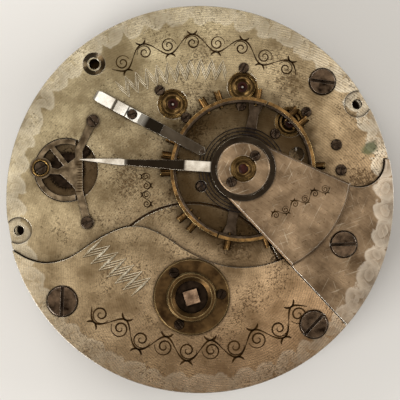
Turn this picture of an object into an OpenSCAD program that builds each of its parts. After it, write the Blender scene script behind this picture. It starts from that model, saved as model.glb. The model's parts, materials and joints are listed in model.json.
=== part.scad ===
// Full-plate key-wound pocket watch movement, lying dial side down.
// The origin is on the centre arbor, in the plane of the shoulder that sits on the case rim.

/* [Plates] */
// Diameter of the flange on the dial side of the pillar plate
flange_d = 44.86; // [44.4:0.02:48]
// Thickness of that flange, which is also the depth of the dial-side sinks
flange_t = 1.2; // [1.15:0.05:1.6]
// Diameter of the plates that pass inside the case rim
plate_d = 43.2; // [42.6:0.1:44]
// Thickness of the pillar plate above the flange
pillar_plate_t = 1.6; // [1.4:0.1:2.2]
// Height of the pillars between the two plates
pillar_h = 4.8; // [4.8:0.1:5.4]
// Diameter of a pillar
pillar_d = 3.2; // [2.6:0.1:3.6]
// Thickness of the lower layer of the top plate, on which the bridge and cock sit
ledge_t = 0.7; // [0.6:0.05:0.9]
// Depth of the seats for the bridge and the cock in the top plate
seat_t = 0.7; // [0.6:0.05:0.9]
// Height of the barrel bridge and the cock foot above the top plate
bridge_rise = 0.9; // [0.6:0.05:1.1]
// Gap that shows as a seam between neighbouring plates
seam = 0.1; // [0.05:0.01:0.2]
// Gap round the low step of the barrel bridge
bay_gap = 0.24; // [0.1:0.01:0.3]

/* [Train] */
// Module of the barrel teeth and centre pinion
barrel_mod = 0.26; // [0.258:0.001:0.264]
// Module of the centre wheel and third pinion
centre_mod = 0.245; // [0.243:0.001:0.248]
// Module of the third wheel and fourth pinion
third_mod = 0.189; // [0.185:0.001:0.192]
// Module of the fourth wheel and escape pinion
fourth_mod = 0.15; // [0.147:0.001:0.152]
// Thickness of the centre wheel
centre_wheel_t = 0.4; // [0.3:0.05:0.45]
// Thickness of the third, fourth and escape wheels
wheel_t = 0.3; // [0.2:0.05:0.35]
// Radius of the train pivots
pivot_r = 0.13; // [0.1:0.01:0.16]
// Radius of the slim part of a train arbor
arbor_r = 0.35; // [0.25:0.01:0.35]
// Running clearance of a pivot or shaft, on the radius
run_gap = 0.03; // [0.02:0.005:0.05]
// End shake between an arbor shoulder and the plate
end_shake = 0.1; // [0.05:0.01:0.15]

/* [Barrel] */
// Outer radius of the barrel drum above its teeth
drum_r = 8.9; // [8.7:0.05:8.95]
// Height of the barrel, from the floor to the cover
barrel_h = 3.4; // [3.1:0.05:3.4]
// Wall, floor and cover thickness of the barrel
barrel_wall = 0.5; // [0.4:0.05:0.6]
// Thickness of the mainspring strip
mainspring_t = 0.22; // [0.18:0.01:0.24]
// Turns of the mainspring
mainspring_turns = 8; // [6:1:8]
// Side of the winding square
winding_square = 1.57; // [1.4:0.01:1.65]
// Radius of the cap over the ratchet wheel
ratchet_cap_r = 4.25; // [4.1:0.05:4.5]
// Radius of the raised lip on that cap
ratchet_lip_r = 2.73; // [2.5:0.01:2.78]
// Radius of the key hole in the cap
key_hole_r = 1.82; // [1.5:0.01:1.9]

/* [Escapement] */
// Tip radius of the escape wheel
escape_r = 3.3; // [3.2:0.01:3.35]
// Width of a pallet stone
stone_w = 0.34; // [0.26:0.01:0.36]
// Radius of the impulse pin about the balance axis
impulse_r = 1.05; // [1.02:0.01:1.08]

/* [Balance] */
// Distance of the balance axis from the centre arbor
balance_distance = 5.83; // [5.75:0.01:5.9]
// Outer radius of the balance rim
rim_r = 8.05; // [7.9:0.01:8.1]
// Width of the brass outer layer of the rim
rim_brass_w = 0.36; // [0.25:0.01:0.45]
// Width of the steel inner layer of the rim
rim_steel_w = 0.24; // [0.15:0.01:0.3]
// Height of the balance rim
rim_h = 1.1; // [0.9:0.05:1.15]
// Length of a timing screw head outside the rim
timing_head_l = 1.12; // [0.8:0.01:1.2]
// Radius of a timing screw head
timing_head_r = 0.4; // [0.3:0.01:0.42]
// Outer radius of the hairspring
hairspring_r = 4.9; // [4.85:0.01:4.95]
// Turns of the hairspring
hairspring_turns = 7; // [5:1:7]
// Thickness of the hairspring strip
hairspring_t = 0.1; // [0.08:0.01:0.12]

/* [Cock and regulator] */
// Radius of the round head of the balance cock
cock_head_r = 3.4; // [3.3:0.01:3.45]
// Radius of the outer end of the raised cock, about the balance axis
cock_arc_r = 11.96; // [11.6:0.02:12.2]
// Thickness of the raised cock
cock_t = 1.3; // [1.1:0.05:1.5]
// Inner radius of the regulator ring
index_ring_in = 2.98; // [2.9:0.01:3.05]
// Outer radius of the regulator ring
index_ring_out = 3.56; // [3.5:0.01:3.6]
// Reach of the regulator index from the balance axis
index_reach = 18.2; // [17.9:0.05:18.3]
// Radius of the round regulator recess in the top plate
recess_r = 3.58; // [3.5:0.01:3.7]
// Thickness of the steel regulator bridge
scale_t = 0.22; // [0.15:0.01:0.25]

/* [Screws and jewels] */
// Radius of the gilt jewel settings in the top plate
setting_r = 1.7; // [1.6:0.01:1.75]
// Radius of the train jewels
jewel_r = 0.6; // [0.5:0.01:0.65]
// Head radius of the small screws beside the settings
small_head_r = 0.56; // [0.5:0.01:0.58]
// Radius of the thread of the plate screws
plate_thread_r = 0.6; // [0.5:0.01:0.7]
// Radius of the threaded holes for the case screws
case_thread_r = 0.56; // [0.5:0.01:0.6]
// Radius of the holes for the dial feet
dial_foot_r = 0.55; // [0.5:0.01:0.7]
// Clearance of a threaded or fixed shank in its hole, on the radius
shank_gap = 0.03; // [0.02:0.01:0.05]

/* [Motion work] */
// Module of the cannon pinion and minute wheel
cannon_mod = 0.2; // [0.196:0.001:0.202]
// Outer radius of the cannon pinion inside the hour pipe
cannon_r = 0.78; // [0.74:0.01:0.8]
// Radius of the end of the cannon pinion where the minute hand sits
minute_seat_r = 0.62; // [0.6:0.01:0.62]
// Outer radius of the hour wheel pipe where the hour hand sits
hour_pipe_r = 1.25; // [1.15:0.01:1.3]
// Reach of the cannon pinion below the dial seat
cannon_reach = 2.2; // [2:0.05:2.6]
// Reach of the hour pipe below the dial seat
hour_reach = 1.1; // [1:0.05:1.3]
// Reach of the seconds pivot below the dial seat
seconds_reach = 0.9; // [0.8:0.05:1.2]

/* [Hidden] */
$fn = 48;
eps = 0.01;

function polar(r, a) = [r * cos(a), r * sin(a)];
function angle_of(v) = atan2(v[1], v[0]);

// Tooth counts of the train and the motion work
barrel_teeth = 72;
centre_leaves = 12;
centre_teeth = 80;
third_leaves = 10;
third_teeth = 75;
fourth_leaves = 10;
fourth_teeth = 80;
escape_leaves = 8;
escape_teeth = 15;
cannon_leaves = 12;
minute_teeth = 36;
minute_leaves = 10;
hour_teeth = 40;

// Directions from each arbor to the next, in degrees from +X
barrel_dir = -94.6;
third_dir = 105.7;
fourth_dir = 13.9;
escape_dir = -36.5;
balance_dir = 34.5;
minute_dir = 200;

function gear_distance(teeth, leaves, m) = (teeth + leaves) * m / 2;

centre_at = [0, 0];
barrel_at = polar(gear_distance(barrel_teeth, centre_leaves, barrel_mod), barrel_dir);
third_at = polar(gear_distance(centre_teeth, third_leaves, centre_mod), third_dir);
fourth_at = third_at + polar(gear_distance(third_teeth, fourth_leaves, third_mod), fourth_dir);
escape_at = fourth_at + polar(gear_distance(fourth_teeth, escape_leaves, fourth_mod), escape_dir);
balance_at = polar(balance_distance, balance_dir);
lever_dir = angle_of(balance_at - escape_at);
pallet_at = escape_at + polar(escape_r / cos(30), lever_dir);
lever_reach = norm(balance_at - pallet_at);
minute_distance = gear_distance(minute_teeth, cannon_leaves, cannon_mod);
minute_at = polar(minute_distance, minute_dir);
hour_mod = 2 * minute_distance / (hour_teeth + minute_leaves);

// Heights of the plates
z_dial = -flange_t;
z_low = pillar_plate_t;
z_under = z_low + pillar_h;
z_seat = z_under + ledge_t;
z_top = z_seat + seat_t;
z_bridge = z_top + bridge_rise;

// Heights of the train, counted up from the pillar plate
wheel_room = 0.3;
z_centre_wheel = z_low + wheel_room;
z_barrel = z_centre_wheel + centre_wheel_t + 0.4;
barrel_tooth_t = 0.7;
z_third_wheel = z_low + 1.6;
z_fourth_wheel = z_low + 3.1;
// Heights of the escapement, counted down from the top plate
z_escape_wheel = z_under - 1.05;
z_fork = z_escape_wheel;
z_roller = z_under - 0.6;
potance_t = 0.7;
z_potance = z_under - 2.7;
// Heights of the balance, counted up from the top plate
rim_lift = 0.4;
z_rim = z_top + rim_lift;
arm_t = 0.4;
z_arm = z_rim + 0.2;
z_spring = z_rim + 0.8;
spring_h = 0.3;
z_cock = z_rim + rim_h + 0.5;
z_cock_top = z_cock + cock_t;
cap_t = 0.35;
index_t = 0.3;

// Places of the plate screws and other fixed pieces, in the plane of the plates.
// What goes with the edge of the plates is set in from it, the rest stands beside the train.
function from_edge(inset, dir) = polar(plate_d / 2 - inset, dir);
plate_screw_right_top = [13.74, 13.12];
plate_screw_left_low = from_edge(2.564, 216.71);
plate_screw_right_low = from_edge(2.729, -47.62);
empty_screw_hole = [-11.79, 15.11];
pillar_places = [plate_screw_right_top, plate_screw_left_low, plate_screw_right_low, empty_screw_hole];
cock_screw_at = [16.05, -5.03];
case_screw_right = from_edge(0.993, 31.02);
case_screw_left = from_edge(1.064, 189.9);
lobe_screw_places = [[15.31, 6.06], [15.82, 3.24]];
lobe_at = [17.83, 4.14];
lobe_r = 2.74;
peep_hole_at = [10.9, 5.0];
peep_hole_r = 0.8;
recess_at = [-14.92, 3.24];
scale_screw_places = [[-11.9, 8.72], [-12.52, -2.63]];
dial_foot_places = [for (a = [25, 152, 275]) from_edge(2.2, a)];
potance_left = balance_at + polar(5.0, 202);
potance_right = balance_at + polar(5.2, -20);

// Directions of the cock's two straight sides
cock_side_up = -24.3;
cock_side_low = -46.7;
// Radii of the bay in the bridge for the balance, of the seat of its low step, and of the barrel opening
bay_r = 10.95;
flange_seat_r = 10.56;
barrel_opening_r = 9.4;

module place(at, z) {
    translate([at[0], at[1], z]) children();
}

// Screw shared by all sizes: head on z with a bevelled edge, thread below it, slot turned by slot_dir
head_bevel = 0.08;
module screw(at, z, head_r, head_t, thread_r, thread_l, slot_dir) {
    slot_w = 0.26 * sqrt(head_r);
    place(at, z) difference() {
        union() {
            cylinder(r = head_r, h = head_t - head_bevel);
            translate([0, 0, head_t - head_bevel])
                cylinder(r1 = head_r, r2 = head_r - head_bevel, h = head_bevel);
            translate([0, 0, -thread_l]) cylinder(r = thread_r, h = thread_l + eps);
        }
        rotate(slot_dir) translate([-2 * head_r, -slot_w / 2, head_t * 0.45])
            cube([4 * head_r, slot_w, head_t]);
    }
}

module hole(at, r, z0, z1) {
    place(at, z0) cylinder(r = r, h = z1 - z0);
}

// Epicycloid of a wheel tooth: how far its flank leans in at radius r, in degrees
function flank_lean(pitch_r, roll_r, r) =
    let (
        reach = pitch_r + roll_r,
        u = acos((reach * reach + roll_r * roll_r - r * r) / (2 * roll_r * reach))
    )
    u * roll_r / pitch_r - atan2(roll_r * sin(u), reach - roll_r * cos(u));

// Wheel outline with a tooth centred on the direction tooth_dir
wheel_tooth_share = 0.46;
wheel_addendum = 1.2;
wheel_dedendum = 1.05;
module wheel_outline(teeth, m, mate, tooth_dir) {
    pitch_r = teeth * m / 2;
    tip_r = pitch_r + wheel_addendum * m;
    root_r = pitch_r - wheel_dedendum * m;
    half = wheel_tooth_share * 180 / teeth;
    tip_half = half - flank_lean(pitch_r, mate * m / 4, tip_r);
    polygon([
        for (i = [0 : teeth - 1])
            let (a = tooth_dir + i * 360 / teeth)
            each [
                polar(root_r, a - half), polar(pitch_r, a - half), polar(tip_r, a - tip_half),
                polar(tip_r, a + tip_half), polar(pitch_r, a + half), polar(root_r, a + half)
            ]
    ]);
}

// Pinion outline with a space between two leaves centred on the direction space_dir
leaf_share = 0.36;
module pinion_outline(leaves, m, space_dir) {
    pitch_r = leaves * m / 2;
    root_r = pitch_r - 1.6 * m;
    half = leaf_share * 180 / leaves;
    polygon([
        for (i = [0 : leaves - 1])
            let (a = space_dir + (i + 0.5) * 360 / leaves)
            each [
                polar(root_r, a - half), polar(pitch_r, a - half),
                polar(pitch_r + 0.35 * m, a - 0.8 * half), polar(pitch_r + 0.6 * m, a - 0.3 * half),
                polar(pitch_r + 0.6 * m, a + 0.3 * half), polar(pitch_r + 0.35 * m, a + 0.8 * half),
                polar(pitch_r, a + half), polar(root_r, a + half)
            ]
    ]);
}

// Openings between the spokes of a wheel
module spoke_openings(hub_r, rim_r, spokes, spoke_w, first_dir) {
    difference() {
        circle(r = rim_r, $fn = 180);
        circle(r = hub_r);
        for (i = [0 : spokes - 1])
            rotate(first_dir + i * 360 / spokes) translate([0, -spoke_w / 2])
                square([rim_r + 1, spoke_w]);
    }
}

module spoked_wheel(at, z, t, teeth, m, mate, tooth_dir, hub_r, bore_r, spokes, spoke_w) {
    rim_in = teeth * m / 2 - wheel_dedendum * m - 2.2 * m;
    place(at, z) linear_extrude(t) difference() {
        wheel_outline(teeth, m, mate, tooth_dir);
        spoke_openings(hub_r, rim_in, spokes, spoke_w, tooth_dir);
        circle(r = bore_r);
    }
}

// Turned arbor: stacked steps of [radius, top height], from z0 upwards
module turned(at, z0, steps) {
    place(at, 0) rotate_extrude() polygon([
        [0, z0],
        for (i = [0 : len(steps) - 1])
            each [[steps[i][0], i == 0 ? z0 : steps[i - 1][1]], [steps[i][0], steps[i][1]]],
        [0, steps[len(steps) - 1][1]]
    ]);
}

// Spiral strip: centre line points, its outline, and the least gap between its turns
spiral_steps = 24;
function spiral_point(r_out, r_in, turns, dir, i) =
    polar(r_out + (r_in - r_out) * i / (turns * spiral_steps), dir + i * 360 / spiral_steps);
function spiral_line(r_out, r_in, turns, dir) =
    [for (i = [0 : turns * spiral_steps]) spiral_point(r_out, r_in, turns, dir, i)];
function spiral_gap(line, t) =
    min([
        for (i = [0 : len(line) - 1 - spiral_steps / 2], j = [i + spiral_steps / 2 : len(line) - 1])
            norm(line[i] - line[j])
    ]) - t;
module spiral_strip(r_out, r_in, turns, dir, t, h) {
    line = [for (e = [t / 2, -t / 2]) spiral_line(r_out + e, r_in + e, turns, dir)];
    linear_extrude(h) polygon([
        for (p = line[0]) p,
        for (i = [len(line[1]) - 1 : -1 : 0]) line[1][i]
    ]);
}

// Plate outlines
module half_plane(at, dir) {
    // everything to the right of a line through at that runs along dir
    translate(at) rotate(dir) translate([-100, -200]) square([200, 200]);
}

cock_up_at = balance_at + polar(cock_head_r, cock_side_up + 90);
cock_low_at = balance_at + polar(cock_head_r, cock_side_low - 90);

// Upper edge of the barrel bridge, as points for a smooth curve from the rim to the bay
bridge_edge = [
    [-23, -4.6], [-20.9, -5.7], [-19, -6.75], [-16.9, -7.15], [-14.4, -6.5], [-11.5, -4.6],
    [-9, -3.35], [-7.2, -3.05], [-5.6, -3.35], [-3.75, -4.25], [-1.6, -5.7], [-0.3, -6.35], [1.5, -7]
];
function smooth_between(a, b, c, d, t) =
    b + (c - a) * t / 2 + (a - 2.5 * b + 2 * c - d / 2) * t * t + (3 * (b - c) + d - a) * t * t * t / 2;
smooth_steps = 4;
bridge_curve = [
    for (i = [1 : len(bridge_edge) - 3], k = [0 : smooth_steps - 1])
        let (e = bridge_edge)
        smooth_between(e[i - 1], e[i], e[i + 1], e[i + 2], k / smooth_steps),
    bridge_edge[len(bridge_edge) - 2]
];

// Raised part of the barrel bridge, with a margin g all round
module bridge_outline(g) {
    difference() {
        intersection() {
            circle(d = plate_d, $fn = 180);
            translate([0, g]) polygon([
                [-40, bridge_curve[0][1]], each bridge_curve,
                [8, -6], [40, -6], [40, -40], [-40, -40]
            ]);
            half_plane(cock_low_at + polar(g - seam, cock_side_low + 90), cock_side_low);
        }
        translate(balance_at) circle(r = bay_r - g, $fn = 120);
    }
}

// Low step of the barrel bridge, which fills the round opening over the barrel
module flange_outline(g) {
    intersection() {
        translate(barrel_at) circle(r = flange_seat_r - (g == 0 ? bay_gap : 0), $fn = 120);
        half_plane(cock_low_at + polar(g - seam, cock_side_low + 90), cock_side_low);
        circle(d = plate_d, $fn = 180);
    }
}

// Wedge of the raised cock between its two straight sides, with a margin g
module wedge_outline(g) {
    intersection() {
        translate(balance_at) circle(r = cock_arc_r + g, $fn = 120);
        half_plane(cock_up_at + polar(g, cock_side_up + 90), cock_side_up);
        half_plane(cock_low_at + polar(g, cock_side_low - 90), cock_side_low + 180);
        half_plane(balance_at, (cock_side_up + cock_side_low) / 2 + 90);
    }
}

// Foot of the cock, out to the edge of the plate, with a margin g
module foot_outline(g) {
    difference() {
        intersection() {
            circle(d = plate_d, $fn = 180);
            half_plane(cock_low_at + polar(g, cock_side_low - 90), cock_side_low + 180);
            half_plane(lobe_at + [0, 0.3 + g], 0);
        }
        translate(balance_at) circle(r = cock_arc_r - 1, $fn = 120);
        translate(lobe_at) circle(r = lobe_r + seam - g, $fn = 96);
        translate([lobe_at[0] - 2 * lobe_r, lobe_at[1] - lobe_r]) square([2 * lobe_r, 3 * lobe_r]);
    }
}

timing_r = rim_r + timing_head_l;
leg_in_r = timing_r + 0.35;
module leg_outline(g) {
    difference() {
        wedge_outline(g);
        translate(balance_at) circle(r = leg_in_r - g, $fn = 120);
    }
}

screw_head_t = 0.6;
head_sink = 0.3;
head_gap = 0.08;
right_top_head_r = 1.45;
left_low_head_r = 1.68;
right_low_head_r = 1.54;
cock_head_screw_r = 1.45;
case_sink_r = 1.5;
case_sink_depth = 0.45;

jewel_t = 0.4;
train_places = [third_at, fourth_at, escape_at];

// Frame: two plates, pillars, bridge, cock and the lower balance cock

module pillar_plate() color("#b9ab86") difference() {
    union() {
        translate([0, 0, z_dial]) cylinder(d = flange_d, h = flange_t, $fn = 180);
        cylinder(d = plate_d, h = pillar_plate_t, $fn = 180);
    }
    // sinks for the hour wheel and the minute wheel
    hole(centre_at, hour_teeth * hour_mod / 2 + 0.45, z_dial - 1, 0);
    hole(minute_at, minute_teeth * cannon_mod / 2 + 0.45, z_dial - 1, 0);
    hole(centre_at, centre_arbor_r + run_gap, -1, z_low + 1);
    hole(minute_at, minute_stud_r, -1, minute_stud_seat);
    hole(barrel_at, barrel_pivot_r + run_gap, z_low - barrel_pivot_l, z_low + 1);
    for (p = train_places) {
        hole(p, jewel_r, z_low - jewel_t, z_low + 1);
        hole(p, arbor_r + 0.1, z_dial - 1, z_low - jewel_t + eps);
    }
    for (p = pillar_places)
        hole(p, plate_thread_r, z_dial - 1, z_low + 1);
    for (p = dial_foot_places)
        hole(p, dial_foot_r, z_dial - 1, z_low + 1);
}

module pillars() color("#c2a35a") for (p = pillar_places)
    difference() {
        union() {
            hole(p, pillar_d / 2, z_low, z_under);
            hole(p, plate_thread_r - shank_gap, z_dial + 0.3, z_low + eps);
        }
        hole(p, plate_thread_r, z_under - pillar_h / 2, z_under + 1);
    }

module top_plate() color("#b5a98a") difference() {
    union() {
        translate([0, 0, z_under]) linear_extrude(ledge_t) difference() {
            circle(d = plate_d, $fn = 180);
            translate(barrel_at) circle(r = barrel_opening_r, $fn = 120);
        }
        translate([0, 0, z_seat]) linear_extrude(seat_t) difference() {
            circle(d = plate_d, $fn = 180);
            bridge_outline(seam);
            flange_outline(seam);
            foot_outline(seam);
            leg_outline(seam);
        }
    }
    hole(centre_at, pivot_r * 2 + run_gap, z_under - 1, z_under + ledge_t * 0.8);
    hole(balance_at, roller_r + 0.15, z_under - 1, z_top + 1);
    hole(pallet_at, pivot_r + run_gap, z_under - 1, z_under + 0.5);
    hole(peep_hole_at, peep_hole_r, z_under - 1, z_top + 1);
    for (p = train_places) {
        hole(p, setting_r, z_seat, z_top + 1);
        hole(p, jewel_r, z_under - 1, z_top);
        for (s = setting_screw_dirs(p))
            hole(p + polar(setting_r + setting_screw_out, s), small_hole_r, z_seat, z_top + 1);
    }
    for (p = pillar_places)
        hole(p, plate_thread_r, z_under - 1, z_bridge);
    hole(plate_screw_right_top, right_top_head_r + head_gap, z_top - head_sink, z_top + 1);
    place(empty_screw_hole, z_top - 0.3) cylinder(r1 = 0.75, r2 = 1.3, h = 0.31);
    hole(cock_screw_at, plate_thread_r, z_under - 1, z_seat + 1);
    for (p = [case_screw_right, case_screw_left]) {
        hole(p, case_sink_r, z_top - case_sink_depth, z_top + 1);
        hole(p, case_thread_r, z_under - 1, z_top);
    }
    for (p = lobe_screw_places)
        hole(p, small_hole_r, z_seat, z_top + 1);
    for (p = [potance_left, potance_right]) {
        hole(p, small_hole_r, z_under - 1, z_top + 1);
        hole(p, small_head_r + head_gap, z_top - head_sink, z_top + 1);
    }
    hole(recess_at, recess_r, z_recess, z_top + 1);
    hole(adjuster_at, adjuster_r + run_gap, z_under - 1, z_recess + 1);
    hole(adjuster_at, collar_r, z_recess, z_top + 1);
    for (p = scale_screw_places)
        hole(p, small_hole_r, z_seat, z_top + 1);
    hole(stud_screw_at, small_hole_r, z_seat, z_top + 1);
}

// Recess under the ratchet cap: the round of the ratchet wheel and the pocket of the click
ratchet_teeth = 24;
ratchet_r = 2.3;
ratchet_t = 0.5;
ratchet_floor = 0.9;
click_pocket_dir = 305;
click_pocket_half = 46;
click_pocket_low = click_pocket_dir - click_pocket_half;
click_pocket_r = ratchet_cap_r - 0.35;
bridge_boss_r = 2.4;
ratchet_screw_dirs = [5.6, 125.6, 245.6];
ratchet_screw_r = ratchet_lip_r + 0.62;

module barrel_bridge() color("#b5a98a") difference() {
    union() {
        translate([0, 0, z_seat]) linear_extrude(z_bridge - z_seat) bridge_outline(0);
        translate([0, 0, z_seat]) linear_extrude(seat_t) flange_outline(0);
        hole(barrel_at, bridge_boss_r, z_under - 0.05, z_seat + eps);
    }
    hole(barrel_at, barrel_upper_r + run_gap, z_under - 1, z_bridge);
    hole(barrel_at, ratchet_r + 0.2, z_bridge - ratchet_floor, z_bridge + 1);
    place(barrel_at, z_bridge - ratchet_floor) linear_extrude(2) intersection() {
        circle(r = click_pocket_r);
        polygon([
            [0, 0], polar(9, click_pocket_low), polar(12, click_pocket_dir),
            polar(9, click_pocket_dir + click_pocket_half)
        ]);
    }
    for (a = ratchet_screw_dirs)
        hole(barrel_at + polar(ratchet_screw_r, a), small_hole_r, z_bridge - 0.8, z_bridge + 1);
    hole(plate_screw_left_low, plate_thread_r, z_under, z_bridge + 1);
    hole(plate_screw_left_low, left_low_head_r + head_gap, z_bridge - head_sink, z_bridge + 1);
    hole(plate_screw_right_low, plate_thread_r, z_under, z_bridge + 1);
    hole(plate_screw_right_low, right_low_head_r + head_gap, z_bridge - head_sink, z_bridge + 1);
    hole(case_screw_left, case_sink_r + seam, z_under, z_bridge + 1);
}

// What the bevels take off the upper edges of the raised cock: two straight sides and the round end.
// The round end's is a little deeper, so that the two kinds cross beside the corners and not in them.
side_bevel = 0.2;
end_bevel = 0.24;
module bevel_side(at, dir, from, to) {
    translate(at) rotate(dir) translate([from, 0, 0]) rotate([90, 0, 90]) linear_extrude(to - from)
        bevel_corner(0, side_bevel);
}
module bevel_corner(edge, deep) {
    polygon([
        [edge - deep - 0.5, z_cock_top + 0.5], [edge + 0.5, z_cock_top - deep - 0.5],
        [edge + 0.5, z_cock_top + 0.5]
    ]);
}
module cock_bevels() {
    bevel_side(cock_up_at, cock_side_up, 0, cock_arc_r + 1);
    bevel_side(cock_low_at, cock_side_low + 180, -cock_arc_r - 1, 0);
    place(balance_at, 0) rotate_extrude($fn = 120) bevel_corner(cock_arc_r, end_bevel);
}

module balance_cock() color("#bdb193") difference() {
    union() {
        translate([0, 0, z_cock]) linear_extrude(cock_t) {
            wedge_outline(0);
            translate(balance_at) circle(r = cock_head_r, $fn = 96);
        }
        translate([0, 0, z_seat]) linear_extrude(z_cock_top - z_seat) leg_outline(0);
        translate([0, 0, z_seat]) linear_extrude(z_bridge - z_seat) foot_outline(0);
    }
    cock_bevels();
    hole(balance_at, jewel_r, z_cock - 1, z_cock_top + 1);
    hole(cock_screw_at, plate_thread_r, z_under, z_bridge + 1);
    hole(cock_screw_at, cock_head_screw_r + head_gap, z_bridge - head_sink, z_cock_top + 1);
    for (s = [-1, 1])
        hole(cap_screw_at(s), small_hole_r, z_cock_top - 0.8, z_cock_top + 1);
}

// Lower balance cock: a plate under the top plate on two feet, with a lobe for the pallet arbor
potance_foot_r = 0.95;
potance_w = 1.5;
module bar(a, b, w) {
    along = b - a;
    translate(a) rotate(angle_of(along)) translate([0, -w / 2]) square([norm(along), w]);
}
module potance() color("#a8935c") difference() {
    union() {
        translate([0, 0, z_potance]) linear_extrude(potance_t) {
            for (p = [potance_left, potance_right])
                translate(p) circle(r = potance_foot_r);
            translate(balance_at) circle(r = 1.2);
            translate(pallet_at) circle(r = 0.8);
            bar(potance_left, balance_at, potance_w);
            bar(balance_at, potance_right, potance_w);
            bar(balance_at, pallet_at, potance_w);
        }
        for (p = [potance_left, potance_right])
            hole(p, potance_foot_r, z_potance, z_under);
    }
    for (p = [potance_left, potance_right])
        hole(p, small_thread_r, z_under - 1.4, z_under + 1);
    hole(balance_at, jewel_r * 0.8, z_potance - 1, z_under);
    hole(pallet_at, pivot_r + run_gap, z_potance - 1, z_under);
    for (s = [-1, 1])
        hole(banking_at(s), banking_r, z_potance - 1, z_under);
}

// Screws

small_thread_r = 0.25;
small_hole_r = small_thread_r + shank_gap;
small_head_t = 0.25;
setting_screw_out = small_head_r - 0.14;
// two screws per setting, on one line through it
function setting_screw_dirs(p) =
    p == third_at ? [134, 314] : p == fourth_at ? [86, 266] : [31, 219];

module plate_screws() color("#4a3f38") {
    screw(plate_screw_right_top, z_top - head_sink, right_top_head_r, screw_head_t,
        plate_thread_r - shank_gap, z_top - head_sink - z_under + pillar_h / 4, -8);
    screw(plate_screw_left_low, z_bridge - head_sink, left_low_head_r, screw_head_t,
        plate_thread_r - shank_gap, z_bridge - head_sink - z_under + pillar_h / 4, 88);
    screw(plate_screw_right_low, z_bridge - head_sink, right_low_head_r, screw_head_t,
        plate_thread_r - shank_gap, z_bridge - head_sink - z_under + pillar_h / 4, 47);
}

module cock_screw() color("#4a3f38")
    screw(cock_screw_at, z_bridge - head_sink, cock_head_screw_r, screw_head_t,
        plate_thread_r - shank_gap, z_bridge - head_sink - z_under, 2);

module potance_screws() color("#3d3630") for (p = [potance_left, potance_right])
    screw(p, z_top - head_sink, small_head_r, small_head_t, small_thread_r - shank_gap,
        z_top - head_sink - z_under + 1, 40);

module lobe_screws() color("#5a4a3a") for (p = lobe_screw_places)
    screw(p, z_top, 0.61, small_head_t, small_thread_r, seat_t, p == lobe_screw_places[0] ? 5 : 80);

module setting_screws() color("#5a4a3a") for (p = train_places, s = setting_screw_dirs(p))
    screw(p + polar(setting_r + setting_screw_out, s), z_top, small_head_r, small_head_t,
        small_thread_r, seat_t, s * 7);

// Jewels and their gilt settings

module ring_profile(at, z, points) {
    place(at, z) rotate_extrude() polygon(points);
}

module jewel_settings() color("#c79a3f") for (p = train_places)
    ring_profile(p, z_seat, [
        [jewel_r, 0], [setting_r, 0], [setting_r, seat_t], [setting_r - 0.3, seat_t],
        [setting_r - 0.38, seat_t - 0.1], [jewel_r + 0.32, jewel_t + 0.12], [jewel_r, jewel_t]
    ]);

module jewel(at, z, r, t, bore) {
    ring_profile(at, z, [[bore, 0], [r, 0], [r, t], [bore + 0.2, t], [bore, t * 0.6]]);
}

module upper_jewels() color("#8c1f2e") {
    for (p = train_places)
        jewel(p, z_seat, jewel_r, jewel_t, pivot_r + run_gap);
    jewel(balance_at, z_cock + 0.1, jewel_r, jewel_t, pivot_r + run_gap);
}

module lower_jewels() color("#8c1f2e") {
    for (p = train_places)
        jewel(p, z_low - jewel_t, jewel_r, jewel_t, (p == fourth_at ? seconds_r : pivot_r) + run_gap);
    jewel(balance_at, z_potance, jewel_r * 0.8, jewel_t, pivot_r + run_gap);
}

// Cap on the cock head, with the gilt setting of the end stone
cap_r = index_ring_in - 0.04;
cap_setting_r = 1.45;
cap_stone_r = 0.56;
function cap_screw_at(s) = balance_at + polar(1.93, 228 + 90 * (1 - s));

module balance_cap() color("#c9c4b4") difference() {
    ring_profile(balance_at, z_cock_top, [
        [jewel_r, 0], [cap_r, 0], [cap_r, cap_t - 0.08], [cap_r - 0.12, cap_t],
        [cap_setting_r, cap_t], [cap_setting_r, cap_t * 0.4], [jewel_r, cap_t * 0.4]
    ]);
    for (s = [-1, 1])
        hole(cap_screw_at(s), small_hole_r, z_cock_top - 1, z_cock_top + 1);
}

module balance_cap_setting() color("#c79a3f")
    ring_profile(balance_at, z_cock_top + cap_t * 0.4, [
        [cap_stone_r, 0], [cap_setting_r, 0], [cap_setting_r, cap_t * 0.6],
        [cap_setting_r - 0.25, cap_t * 0.6 + 0.08], [cap_stone_r + 0.3, 0.2], [cap_stone_r, 0.15]
    ]);

module balance_cap_jewel() color("#6d1520")
    ring_profile(balance_at, z_cock_top + cap_t * 0.4, [
        [0, 0], [cap_stone_r, 0], [cap_stone_r, 0.12], [cap_stone_r * 0.6, 0.22], [0, 0.26]
    ]);

module balance_cap_screws() color("#5a4f45") for (s = [-1, 1])
    screw(cap_screw_at(s), z_cock_top + cap_t, small_head_r, small_head_t, small_thread_r,
        cap_t + 0.6, 70 + 40 * s);

// Regulator: index on the cock, steel scale bridge, adjuster and the toothed wheel that it turns
index_dir = 176.5;
index_flat_end = 6.3;
index_slope_end = 13.1;
index_tip_t = 0.18;
index_w = 1.15;
tip_w = 0.62;
z_recess = z_top - 0.9;
adjuster_r = 0.35;
adjuster_head_r = 0.73;
collar_r = 1.0;
sector_mod = 0.1;
sector_teeth = 40;
adjuster_leaves = 16;
adjuster_at = recess_at + polar(gear_distance(sector_teeth, adjuster_leaves, sector_mod), 175.5);
sector_pivot_r = 0.45;
sector_t = 0.3;
z_sector = z_recess + 0.25;
post_r = 0.2;
scale_edge = 1.86;
z_index_tip = z_top + scale_t + 0.14;

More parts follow.
